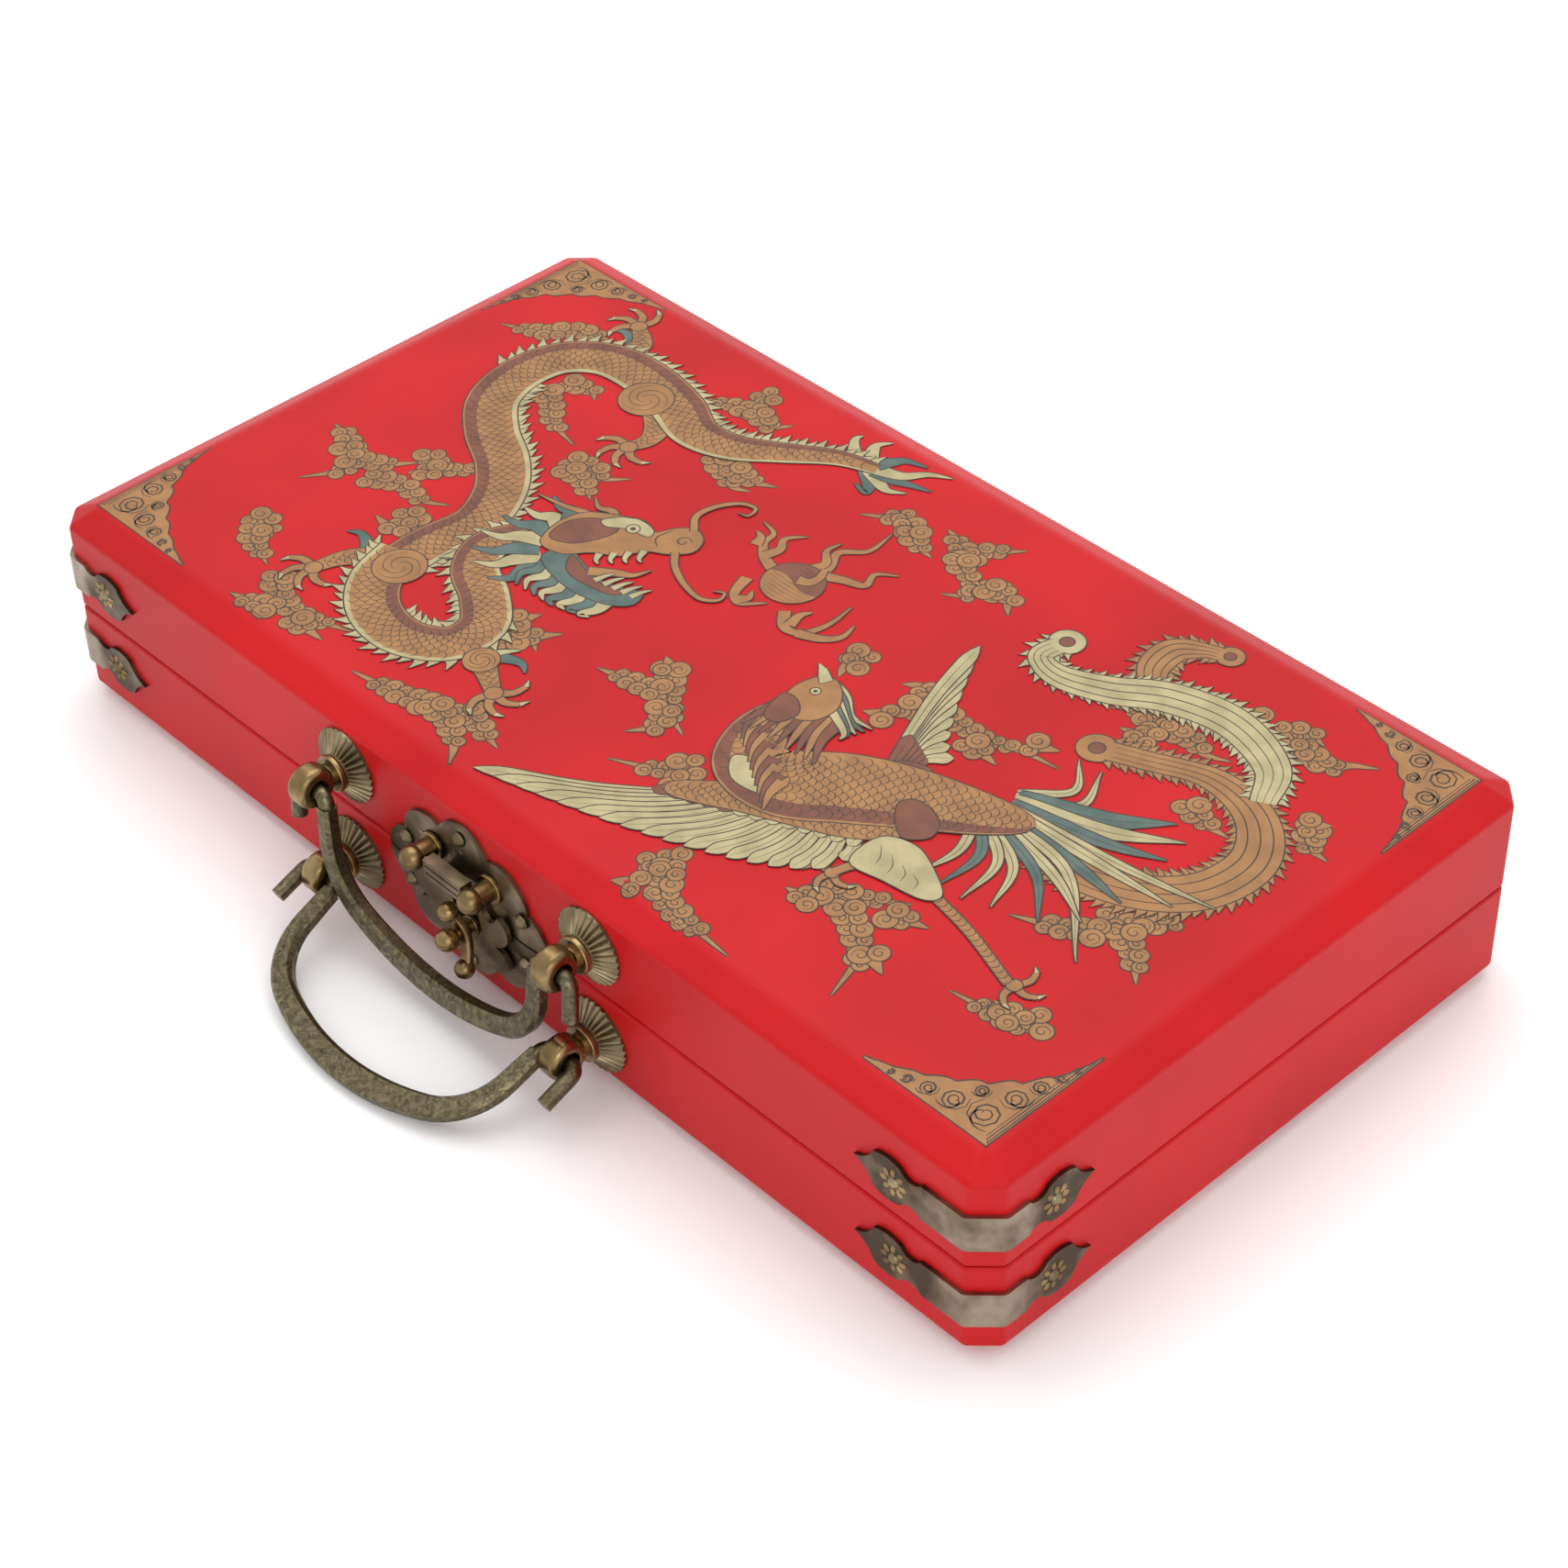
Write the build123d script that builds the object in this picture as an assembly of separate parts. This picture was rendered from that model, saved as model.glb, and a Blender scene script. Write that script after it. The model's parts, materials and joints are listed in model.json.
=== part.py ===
from build123d import *
import os
from math import atan2, cos, degrees, hypot, radians, sin, sqrt, tan

# Flat red leatherette game case: two equal halves hinged at the back, with bronze fittings.
# Frame: X along the length, -Y to the front, +Z up, origin at the middle of the flat underside.
# Fittings on the front are drawn on a plane whose x is X, whose y is Z and whose z points outward.

# ---- case, outside ----
case_length = 250.0
case_width = 135.0
case_height = 44.0
corner_chamfer = 4.5
corner_soft = 1.6
bevel_width = 5.9
bevel_drop = 3.0
bevel_top_soft = 7.0
bevel_low_soft = 1.3
soft_steps = 4
parting_gap = 0.3
rim_soft = 0.7

# ---- case, walls ----
skin = 0.8
board = 5.0
panel_board = 3.2
lining = 1.2
cavity_corner = 5.0

# ---- tile trays ----
tray_gap_side = 0.8
tray_gap_front = 1.2
tray_height = 26.0
tray_wall = 2.5
tray_floor = 2.0
tray_divider = 2.0
tray_lanes = 4
tray_corner = 3.0
finger_notch = 9.0

# ---- handle fittings ----
fittings_x = -1.6
handle_half_span = 33.4
handle_offset = 10.5
rosette_radius = 7.6
rosette_rim = 0.7
rosette_top_radius = 3.4
rosette_height = 2.9
rosette_flutes = 30
flute_depth = 0.55
eye_reach = 8.2
eye_radius = 4.1
eye_bore = 2.1
eye_width = 4.6
eye_collar_radius = 3.7
eye_collar = 1.2
eye_shank = 1.3
eye_neck = 2.3
eye_soft = 1.3
collar_soft = 0.35
wire_radius = 1.5
wire_play = 0.3
handle_drop = 25.3
grip_width = 4.8
arm_width = 3.3
arm_taper_outer = 0.3
arm_taper_inner = 0.7
hook_seat = 1.0
arm_share = 0.36
knee_turn = 64.0
handle_thickness = 3.2
handle_edge = 0.7
tail_length = 8.5
hook_bend = 1.9
upper_handle_lean = 4.0
lower_handle_lean = 69.0

# ---- latch ----
latch_x = -1.3
plate_half_width = 21.9
plate_half_height = 17.0
plate_thickness = 0.8
plate_dome = 0.5
rivet_radius = 1.5
rivet_height = 1.0
rivet_shank = 0.7
post_spread = 8.0
post_rise = 8.0
post_radius = 2.1
post_flange = 3.0
post_ball = 2.4
post_ball_reach = 6.0
pin_radius = 0.7
pin_reach = 4.6
hasp_thickness = 1.0
hasp_reach = 1.6
hasp_bar_reach = 5.9
hasp_bar_drop = 2.4
hasp_half_width = 12.9
hasp_depth = 11.4
hasp_side_gap = 0.4
hasp_slot_top = 4.6
slot_clearance = 0.8
lock_x = 1.2
lock_drop = 5.0
lock_shank = 1.3
lock_ball = 2.2
lock_ball_reach = 7.0
lever_half_length = 6.1
lever_offset = 1.67
lever_tilt = 14.7
lever_hub = 2.3
lever_ball = 1.9
lever_mid_reach = 4.2
lever_end_reach = 6.2
lever_width = 2.8
lever_thickness = 1.5
turning_clearance = 0.06

# ---- corner brackets ----
bracket_thickness = 0.8
bracket_band = 7.6
bracket_leaf = 9.4
bracket_rise = 8.6
bracket_drop = 9.3
bracket_arm_left = 24.0
bracket_arm_right = 28.7
bracket_arm_side = 24.0
bracket_nail_inset = 9.0
nail_head = 1.1
nail_head_height = 0.7
nail_shank = 0.6
nail_length = 4.5

# ---- back hinges ----
hinge_spread = 78.0
hinge_width = 24.0
hinge_leaf_height = 13.0
hinge_leaf = 0.8
knuckle_radius = 1.6
hinge_pin = 0.75
knuckle_gap = 0.2

# ---- worked out ----
parting_z = case_height / 2
rim_z = parting_gap / 2
front_y = -case_width / 2
back_y = case_width / 2
wall = skin + board + lining
panel = skin + panel_board + lining
plate_surface = plate_thickness + plate_dome
hinge_axis_y = back_y + knuckle_radius
wire_centre_drop = eye_bore - wire_radius - wire_play
arm_x = handle_half_span - eye_width / 2 - wire_play - arm_width / 2
tail_x = handle_half_span + eye_width / 2 + wire_play + wire_radius
shank_depth = skin + board - 0.3


def on_front(x, z, reach=0.0):
    """Plane on the front face: x along the case, y up, z outward."""
    return Plane(origin=(x, front_y - reach, z), x_dir=(1, 0, 0), z_dir=(0, -1, 0))


def on_back(x, z):
    """Plane on the back face, seen from behind."""
    return Plane(origin=(x, back_y, z), x_dir=(-1, 0, 0), z_dir=(0, 1, 0))


def on_side(sign, y, z):
    """Plane on a short side; sign is +1 for the right side and -1 for the left."""
    return Plane(origin=(sign * case_length / 2, y, z), x_dir=(0, sign, 0), z_dir=(sign, 0, 0))


def peg(radius, depth):
    """A round shank or hole that goes from the face into the wall."""
    return Pos(0, 0, -depth / 2) * Cylinder(radius, depth)


def plan(inset):
    """Outline of the case seen from above, drawn in by inset, with flat soft corners."""
    outline = Rectangle(case_length - 2 * inset, case_width - 2 * inset)
    cut = max(corner_chamfer - inset * (2 - sqrt(2)), 1.0)
    outline = chamfer(outline.vertices(), cut)
    return fillet(outline.vertices(), min(corner_soft, 0.9 * cut))


def soft_turn(start, turn, radius, heading):
    """Points of an arc that turns inward by turn degrees; heading is measured from straight up."""
    x, z = start
    points = []
    for step in range(1, soft_steps + 1):
        angle = radians(heading + turn * step / soft_steps)
        before = radians(heading)
        points.append((x + radius * (cos(before) - cos(angle)), z + radius * (sin(angle) - sin(before))))
    return points


def bevel_profile(top):
    """Inset and height of each section of the soft bevel, from the upright wall to the flat top."""
    slope = degrees(atan2(bevel_width, bevel_drop))
    low_tangent = bevel_low_soft * tan(radians(slope / 2))
    top_tangent = bevel_top_soft * tan(radians((90 - slope) / 2))
    first = (0.0, top - bevel_drop - low_tangent)
    low_arc = soft_turn(first, slope, bevel_low_soft, 0.0)
    reach = 1 - top_tangent / hypot(bevel_width, bevel_drop)
    turn_start = (bevel_width * reach, top - bevel_drop * (1 - reach))
    top_arc = soft_turn(turn_start, 90 - slope, bevel_top_soft, slope)
    return [first] + low_arc + [turn_start] + top_arc


def half_form(inset, low):
    """Upper half of the case as a solid: upright walls, then the wide soft bevel to the top."""
    profile = bevel_profile(case_height / 2 - inset)
    sections = [Pos(0, 0, low) * plan(inset)]
    sections += [Pos(0, 0, z) * plan(inset + step) for step, z in profile]
    return loft(sections, ruled=True)


def cavity(inset, low, top):
    """Block that hollows the half out, with rounded corners."""
    length = case_length - 2 * inset
    width = case_width - 2 * inset
    outline = RectangleRounded(length, width, max(cavity_corner - inset + skin + board, 1.0))
    return extrude(Pos(0, 0, low) * outline, top - low)


def half_cover():
    """Leatherette skin of one half: outside, over the rim, to the edge of the hollow."""
    outer = half_form(0.0, rim_z)
    rim_edges = outer.edges().group_by(Axis.Z)[0]
    outer = fillet(rim_edges, rim_soft)
    inner = half_form(skin, rim_z + skin)
    return outer - inner - cavity(skin + board, 0.0, rim_z + skin)


def half_board():
    """Board shell of one half, under the skin."""
    shell = half_form(skin, rim_z + skin)
    return shell - cavity(skin + board, 0.0, case_height / 2 - skin - panel_board)


def half_lining():
    """Velvet lining that covers the walls and the floor of the hollow."""
    top = case_height / 2 - skin - panel_board
    block = cavity(skin + board, rim_z, top)
    return block - cavity(wall, 0.0, top - lining)


def as_lid(half):
    """Put a half in place as the lid."""
    return Pos(0, 0, parting_z) * half


def as_base(half):
    """Put a half in place as the base, upside down."""
    return Pos(0, 0, parting_z) * mirror(half, about=Plane.XY)


def tile_tray(sign):
    """Lift-out tray with lanes for the tiles and a finger notch in both end walls."""
    length = case_length / 2 - wall - 1.5 * tray_gap_side
    width = case_width - 2 * wall - 2 * tray_gap_front
    body = extrude(RectangleRounded(length, width, tray_corner), tray_height)
    lane = (length - 2 * tray_wall - (tray_lanes - 1) * tray_divider) / tray_lanes
    for index in range(tray_lanes):
        x = -length / 2 + tray_wall + lane / 2 + index * (lane + tray_divider)
        hollow = Box(lane, width - 2 * tray_wall, tray_height, align=(Align.CENTER, Align.CENTER, Align.MIN))
        body -= Pos(x, 0, tray_floor) * hollow
    notch = Rot(90, 0, 0) * Cylinder(finger_notch, case_width)
    body -= Pos(0, 0, tray_height) * notch
    x = sign * (tray_gap_side / 2 + length / 2)
    return Pos(x, 0, panel) * body


def flute_cutter():
    """One V-shaped furrow of the rosette, running outward and widening to the rim."""
    inner = rosette_top_radius + 0.3
    outer = rosette_radius + 0.6
    slope = (rosette_height - rosette_rim) / (rosette_radius - rosette_top_radius)
    sections = []
    for radius in (inner, outer):
        crest = rosette_height - (radius - rosette_top_radius) * slope
        half = 0.96 * tan(radians(180 / rosette_flutes)) * radius
        face = make_face(Polyline((-half, 0.2), (half, 0.2), (0, -flute_depth), (-half, 0.2)))
        sections.append(Plane(origin=(0, -radius, crest), x_dir=(1, 0, 0), z_dir=(0, -1, 0)) * face)
    return loft(sections, ruled=True)


def rosette():
    """Fluted round plate behind a handle eye, drilled for the shank of the eye."""
    profile = make_face(Polyline(
        (0, 0, 0), (rosette_radius, 0, 0), (rosette_radius, 0, rosette_rim),
        (rosette_top_radius, 0, rosette_height), (0, 0, rosette_height), (0, 0, 0)))
    body = revolve(profile, Axis.Z)
    furrow = flute_cutter()
    body -= [Rot(0, 0, index * 360 / rosette_flutes) * furrow for index in range(rosette_flutes)]
    return body - Cylinder(eye_shank, 3 * rosette_height)


def handle_eye():
    """Eye that carries a handle end: shank, collar and a rounded ring bored along X."""
    collar = Pos(0, 0, rosette_height + eye_collar / 2) * Cylinder(eye_collar_radius, eye_collar)
    collar = fillet(collar.edges().filter_by(GeomType.CIRCLE), collar_soft)
    neck = Pos(0, 0, rosette_height + eye_collar) * Cylinder(
        eye_neck, eye_reach - rosette_height - eye_collar, align=(Align.CENTER, Align.CENTER, Align.MIN))
    ring = Rot(0, 90, 0) * Cylinder(eye_radius, eye_width)
    ring = fillet(ring.edges().filter_by(GeomType.CIRCLE), eye_soft)
    shank_length = rosette_height + shank_depth
    shank = Pos(0, 0, rosette_height) * peg(eye_shank, shank_length)
    bore = Rot(0, 90, 0) * Cylinder(eye_bore, 2 * eye_width)
    bore = Pos(0, 0, eye_reach) * bore
    return collar + neck + Pos(0, 0, eye_reach) * ring + shank - bore


def bow_side(top_x, waist_x, low_y):
    """One side of the strip from the hook to the middle of the grip: arm, knee and bowed grip."""
    top_y = -hook_bend
    waist_y = -arm_share * handle_drop
    start = atan2(top_x - waist_x, top_y - waist_y)
    knee_end = start + radians(knee_turn)
    rise = waist_y - low_y
    a1 = cos(start) - cos(knee_end)
    b1 = cos(knee_end)
    a2 = sin(knee_end) - sin(start)
    b2 = 1 - sin(knee_end)
    knee = (waist_x * b2 - rise * b1) / (a1 * b2 - a2 * b1)
    grip = (rise - knee * a2) / b2

    def along_knee(angle):
        return (waist_x - knee * (cos(start) - cos(angle)), waist_y - knee * (sin(angle) - sin(start)))

    def along_grip(angle):
        x, y = along_knee(knee_end)
        return (x - grip * (cos(knee_end) - cos(angle)), y - grip * (sin(angle) - sin(knee_end)))

    level = radians(90)
    return [
        Line((top_x, top_y), (waist_x, waist_y)),
        ThreePointArc((waist_x, waist_y), along_knee((start + knee_end) / 2), along_knee(knee_end)),
        ThreePointArc(along_knee(knee_end), along_grip((knee_end + level) / 2), along_grip(level))]


def grip_strip():
    """Flat chamfered strip of a handle: two arms that widen into a gently bowed grip."""
    half_arm = arm_width / 2
    outer_x = arm_x + half_arm
    inner_x = arm_x - half_arm
    outer = bow_side(outer_x, outer_x - arm_taper_outer, -handle_drop - grip_width / 2)
    inner = bow_side(inner_x, inner_x - arm_taper_inner, -handle_drop + grip_width / 2)
    ends = [Line(outer[0] @ 0, inner[0] @ 0), Line(outer[2] @ 1, inner[2] @ 1)]
    half = make_face(outer + inner + ends)
    outline = half + mirror(half, about=Plane.YZ)
    strip = extrude(outline, handle_thickness / 2, both=True)
    rims = [edge for edge in strip.edges() if abs(abs(edge.center().Z) - handle_thickness / 2) < 0.01]
    return chamfer([edge for edge in rims if edge.center().Y < -hook_bend - 0.01], handle_edge)


def handle_hook(sign):
    """Round end of a handle: down the arm, out through the eye and down again as a short tail."""
    path = FilletPolyline(
        (sign * tail_x, -tail_length), (sign * tail_x, 0), (sign * arm_x, 0), (sign * arm_x, -hook_bend - hook_seat),
        radius=hook_bend)
    section = Plane(origin=(sign * tail_x, -tail_length, 0), x_dir=(1, 0, 0), z_dir=(0, 1, 0)) * Circle(wire_radius)
    return sweep(section, path=path)


def handle(row_z, lean):
    """One bail handle, hung in its two eyes and leaning out by an angle from straight down."""
    body = grip_strip() + handle_hook(1) + handle_hook(-1)
    return on_front(fittings_x, row_z - wire_centre_drop, eye_reach) * (Rot(-lean, 0, 0) * body)


def cloud_outline():
    """Lobed outline of the latch plate, eight rounded lobes."""
    w = plate_half_width
    h = plate_half_height
    notch_top = (0.30 * w, 0.76 * h)
    notch_side = (0.77 * w, 0.39 * h)
    corners = [(-notch_top[0], notch_top[1]), notch_top, notch_side, (notch_side[0], -notch_side[1]),
               (notch_top[0], -notch_top[1]), (-notch_top[0], -notch_top[1]), (-notch_side[0], -notch_side[1]),
               (-notch_side[0], notch_side[1])]
    crowns = [(0, h), (0.63 * w, 0.73 * h), (w, 0), (0.63 * w, -0.73 * h), (0, -h), (-0.63 * w, -0.73 * h), (-w, 0),
              (-0.63 * w, 0.73 * h)]
    arcs = [ThreePointArc(corners[i], crowns[i], corners[(i + 1) % 8]) for i in range(8)]
    return make_face(arcs)


def lobe_domes():
    """Shallow domes that give each lobe of the latch plate its puffed face."""
    w = plate_half_width
    h = plate_half_height
    rest = 0.3 * h
    radius = (rest * rest + plate_dome * plate_dome) / (2 * plate_dome)
    places = [(0, 0.68 * h), (0.52 * w, 0.55 * h), (0.72 * w, 0), (0.52 * w, -0.55 * h), (0, -0.68 * h),
              (-0.52 * w, -0.55 * h), (-0.72 * w, 0), (-0.52 * w, 0.55 * h)]
    ball = Sphere(radius)
    return [Pos(x, y, plate_surface - radius) * ball for x, y in places]


def latch_plate():
    """Whole lobed plate, before it is parted between lid and base."""
    outline = cloud_outline()
    plate = extrude(outline, plate_thickness)
    prism = extrude(outline, plate_surface)
    for ball in lobe_domes():
        plate += ball & prism
    return plate


def rivet_places(side):
    """Rivets of the lid plate (side +1) or the base plate (side -1)."""
    w = plate_half_width
    h = plate_half_height
    return [(0, side * 0.84 * h), (0.72 * w, side * 0.3 * h), (-0.72 * w, side * 0.3 * h)]


def parted_plate(side):
    """Lid part (side +1) or base part (side -1) of the latch plate, drilled for its shanks."""
    keep = Pos(0, side * (case_height / 2 + rim_z + 0.1), 0) * Box(case_length, case_height, 10)
    plate = latch_plate() & keep
    for x, y in rivet_places(side):
        plate -= Pos(x, y, 0) * Cylinder(rivet_shank, 10)
    shanks = [(-post_spread, post_rise), (post_spread, post_rise)] if side > 0 else [(lock_x, -lock_drop)]
    for x, y in shanks:
        plate -= Pos(x, y, 0) * Cylinder(lock_shank, 10)
    return plate


def rivet():
    """Dome-headed rivet seated on the latch plate."""
    radius = (rivet_radius ** 2 + rivet_height ** 2) / (2 * rivet_height)
    head = Pos(0, 0, plate_surface + rivet_height - radius) * Sphere(radius)
    head = head & Pos(0, 0, plate_surface + 1) * Box(4, 4, 2)
    return head + Pos(0, 0, plate_surface) * peg(rivet_shank, plate_surface + nail_length)


def turned_post(shank, flange, body, ball, ball_reach):
    """Turned post: shank in the wall, flange on the plate, body and ball end."""
    foot = Pos(0, 0, plate_surface + 0.35) * Cylinder(flange, 0.7)
    foot = fillet(foot.edges().filter_by(GeomType.CIRCLE).sort_by(Axis.Z)[-1], 0.3)
    column = Pos(0, 0, plate_surface) * Cylinder(
        body, ball_reach - plate_surface, align=(Align.CENTER, Align.CENTER, Align.MIN))
    knob = Pos(0, 0, ball_reach) * Sphere(ball)
    return foot + column + knob + Pos(0, 0, plate_surface) * peg(shank, plate_surface + shank_depth)


def latch_post():
    """Post that holds one end of the hasp pin."""
    post = turned_post(lock_shank, post_flange, post_radius, post_ball, post_ball_reach)
    bore = Pos(0, 0, pin_reach) * (Rot(0, 90, 0) * Cylinder(pin_radius, 4 * post_radius))
    return post - bore


def hasp_pin():
    """Pin between the two posts, on which the hasp turns."""
    return Rot(0, 90, 0) * Cylinder(pin_radius, 2 * (post_spread + 0.7 * post_radius))


def hasp_leaf():
    """Leaf-shaped outline of the hasp about the latch centre: neck scoops, wing tips and two lobes a side."""
    w = hasp_half_width
    h = hasp_depth
    shoulder = (post_spread - post_ball + hasp_side_gap, 0.39 * h)
    scoop = (0.59 * w, 0.07 * h)
    wing = (0.80 * w, 0.28 * h)
    upper_lobe = (w, -0.09 * h)
    notch = (0.70 * w, -0.37 * h)
    lower_lobe = (0.98 * w, -0.58 * h)
    heel = (0.64 * w, -0.90 * h)
    nick = (0.50 * w, -0.81 * h)
    right = [
        Line((0, shoulder[1]), shoulder),
        ThreePointArc(shoulder, (0.49 * w, 0.19 * h), scoop),
        ThreePointArc(scoop, (0.71 * w, 0.12 * h), wing),
        ThreePointArc(wing, (0.97 * w, 0.14 * h), upper_lobe),
        ThreePointArc(upper_lobe, (0.92 * w, -0.23 * h), notch),
        ThreePointArc(notch, (0.88 * w, -0.46 * h), lower_lobe),
        ThreePointArc(lower_lobe, (0.88 * w, -0.82 * h), heel),
        Line(heel, nick),
        ThreePointArc(nick, (0.28 * w, -0.97 * h), (0, -h))]
    left = [mirror(edge, about=Plane.YZ) for edge in right]
    return make_face(right + left)


def hasp_slot():
    """Slot that lets the hasp pass over the lock post and both balls of the upright turn lever."""
    tilt = radians(lever_tilt)
    middle = lock_x + lever_offset * cos(tilt)
    sway = lever_half_length * sin(tilt)
    room = lever_ball + slot_clearance
    left = lock_x - lever_hub - slot_clearance
    upper = (max(middle - sway + room, lock_x + lever_hub + slot_clearance), hasp_slot_top)
    lower = (middle + sway + room, -lock_drop - lever_half_length * cos(tilt))
    low = -plate_half_height
    return make_face(Polyline((left, upper[1]), upper, lower, (lower[0], low), (left, low), (left, upper[1])))


def hasp():
    """Hasp: leaf plate, cranked neck and the flat bar that is bored for the pin."""
    leaf = Pos(0, 0, hasp_reach) * extrude(hasp_leaf(), hasp_thickness)
    back = hasp_reach
    face = hasp_reach + hasp_thickness
    bar_back = 2 * pin_reach - hasp_bar_reach
    bar_low = post_rise - hasp_bar_drop
    bar_top = post_rise + hasp_bar_reach - pin_reach
    neck = make_face(Polyline(
        (back, bar_low - 2.0), (face, bar_low - 2.0), (bar_back + 0.7, bar_low), (hasp_bar_reach, bar_low),
        (hasp_bar_reach, bar_top), (bar_back, bar_top), (bar_back, bar_low + 0.8), (back, bar_low - 0.9),
        (back, bar_low - 2.0)))
    half_bar = post_spread - post_ball - hasp_side_gap
    side_plane = Plane(origin=(half_bar, 0, 0), x_dir=(0, 0, 1), z_dir=(-1, 0, 0))
    neck = extrude(side_plane * neck, 2 * half_bar)
    lines = [Pos(0, y, hasp_bar_reach) * Box(1.8 * half_bar, 0.35, 0.5) for y in (post_rise - 1.4, post_rise + 0.2)]
    body = leaf + neck - lines
    body -= Pos(0, post_rise, pin_reach) * (Rot(0, 90, 0) * Cylinder(pin_radius + turning_clearance, 40))
    slot = extrude(hasp_slot(), hasp_bar_reach)
    return body - slot


def turn_lever():
    """Bow lever with ball ends; its hub turns on the shank of the lock post."""
    sag = lever_end_reach - lever_mid_reach
    arc = ThreePointArc((0, lever_half_length, sag), (0, 0, 0), (0, -lever_half_length, sag))
    start = Plane(origin=arc @ 0, x_dir=(1, 0, 0), z_dir=arc % 0)
    section = start * RectangleRounded(lever_width, lever_thickness, 0.6)
    bow = sweep(section, path=arc)
    balls = [Pos(0, side * lever_half_length, sag) * Sphere(lever_ball) for side in (1, -1)]
    lever = Pos(lever_offset, 0, lever_mid_reach) * (bow + balls)
    hub_height = 1.2
    hub = Pos(0, 0, lever_mid_reach - lever_thickness / 2 + hub_height / 2) * Cylinder(lever_hub, hub_height)
    lever = lever + hub
    room = lock_ball + 0.25
    lever -= Pos(0, 0, lock_ball_reach) * Sphere(room)
    lever -= Cylinder(lock_shank + turning_clearance, 40)
    return Rot(0, 0, lever_tilt) * lever


def lock_post():
    """Post on the base plate that carries the turn lever."""
    return turned_post(lock_shank, 2.2, lock_shank, lock_ball, lock_ball_reach)


def leaf_silhouette(arm):
    """Side view of one bracket arm: a band that ends in an ogee leaf; x runs to the corner."""
    b = bracket_band / 2
    w = bracket_leaf / 2
    reach = 12.0
    upper = [
        ThreePointArc((0, 0), (2.6, 0.28 * w), (4.4, 0.82 * w)),
        ThreePointArc((4.4, 0.82 * w), (7.4, w), (10.6, 0.86 * w)),
        ThreePointArc((10.6, 0.86 * w), (12.8, 0.72 * b), (15.0, b)),
        Line((15.0, b), (arm + reach, b))]
    lower = [mirror(edge, about=Plane.XZ) for edge in upper]
    close = Line((arm + reach, b), (arm + reach, -b))
    return make_face(upper + lower + [close])


def corner_bracket(sign, row_z, front_arm):
    """Corner bracket that wraps a front corner; sign is +1 at the right and -1 at the left."""
    ring = extrude(Pos(0, 0, row_z - bracket_leaf) * (plan(-bracket_thickness) - plan(0.0)), 2 * bracket_leaf)
    corner_x = sign * case_length / 2
    facing = -sign
    front_plane = Plane(origin=(corner_x + facing * front_arm, front_y - 5, row_z),
                        x_dir=(sign, 0, 0), z_dir=(0, sign, 0))
    front_arm_block = extrude(front_plane * leaf_silhouette(front_arm), sign * (5 + corner_chamfer + 0.5))
    side_plane = Plane(origin=(corner_x - facing * 5, front_y + bracket_arm_side, row_z),
                       x_dir=(0, -1, 0), z_dir=(sign, 0, 0))
    side_block = extrude(side_plane * leaf_silhouette(bracket_arm_side), -(5 + corner_chamfer + 0.5))
    bracket = ring & (front_arm_block + side_block)
    for place in nail_planes(sign, row_z, front_arm):
        bracket -= place * Cylinder(nail_shank, 20)
    return bracket


def nail_planes(sign, row_z, front_arm):
    """Planes of a bracket's two nails, one in each leaf."""
    front = on_front(sign * (case_length / 2 - front_arm + bracket_nail_inset), row_z)
    side = on_side(sign, front_y + bracket_arm_side - bracket_nail_inset, row_z)
    return [front, side]


def nail(seat):
    """Round-headed nail whose head rests at height seat above the face."""
    radius = (nail_head ** 2 + nail_head_height ** 2) / (2 * nail_head_height)
    head = Pos(0, 0, seat + nail_head_height - radius) * Sphere(radius)
    head = head & Pos(0, 0, seat + 1) * Box(4, 4, 2)
    return head + Pos(0, 0, seat) * peg(nail_shank, seat + nail_length)


def hinge_leaf_plate(side):
    """Hinge leaf for the lid (side +1, middle knuckle) or the base (side -1, outer knuckles)."""
    third = hinge_width / 3
    clear = knuckle_radius + knuckle_gap
    leaf = Pos(0, side * (clear + (hinge_leaf_height - clear) / 2), hinge_leaf / 2) * Box(
        hinge_width, hinge_leaf_height - clear, hinge_leaf)
    leaf = fillet(leaf.edges().filter_by(Axis.Z).group_by(Axis.Y)[-1 if side > 0 else 0], 2.0)
    spans = [(0, third - knuckle_gap)] if side > 0 else [(-third, third - knuckle_gap), (third, third - knuckle_gap)]
    for x, span in spans:
        roll = Pos(x, 0, knuckle_radius) * (Rot(0, 90, 0) * Cylinder(knuckle_radius, span))
        tongue = Pos(x, side * clear / 2, hinge_leaf / 2) * Box(span, clear + 0.2, hinge_leaf)
        leaf += roll + tongue
    leaf -= Pos(0, 0, knuckle_radius) * (Rot(0, 90, 0) * Cylinder(hinge_pin + turning_clearance, 2 * hinge_width))
    for x, y in hinge_nail_places(side):
        leaf -= Pos(x, y, 0) * Cylinder(nail_shank, 10)
    return leaf


def hinge_nail_places(side):
    """Two nails in each hinge leaf."""
    y = side * 0.62 * hinge_leaf_height
    return [(-0.3 * hinge_width, y), (0.3 * hinge_width, y)]


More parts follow.
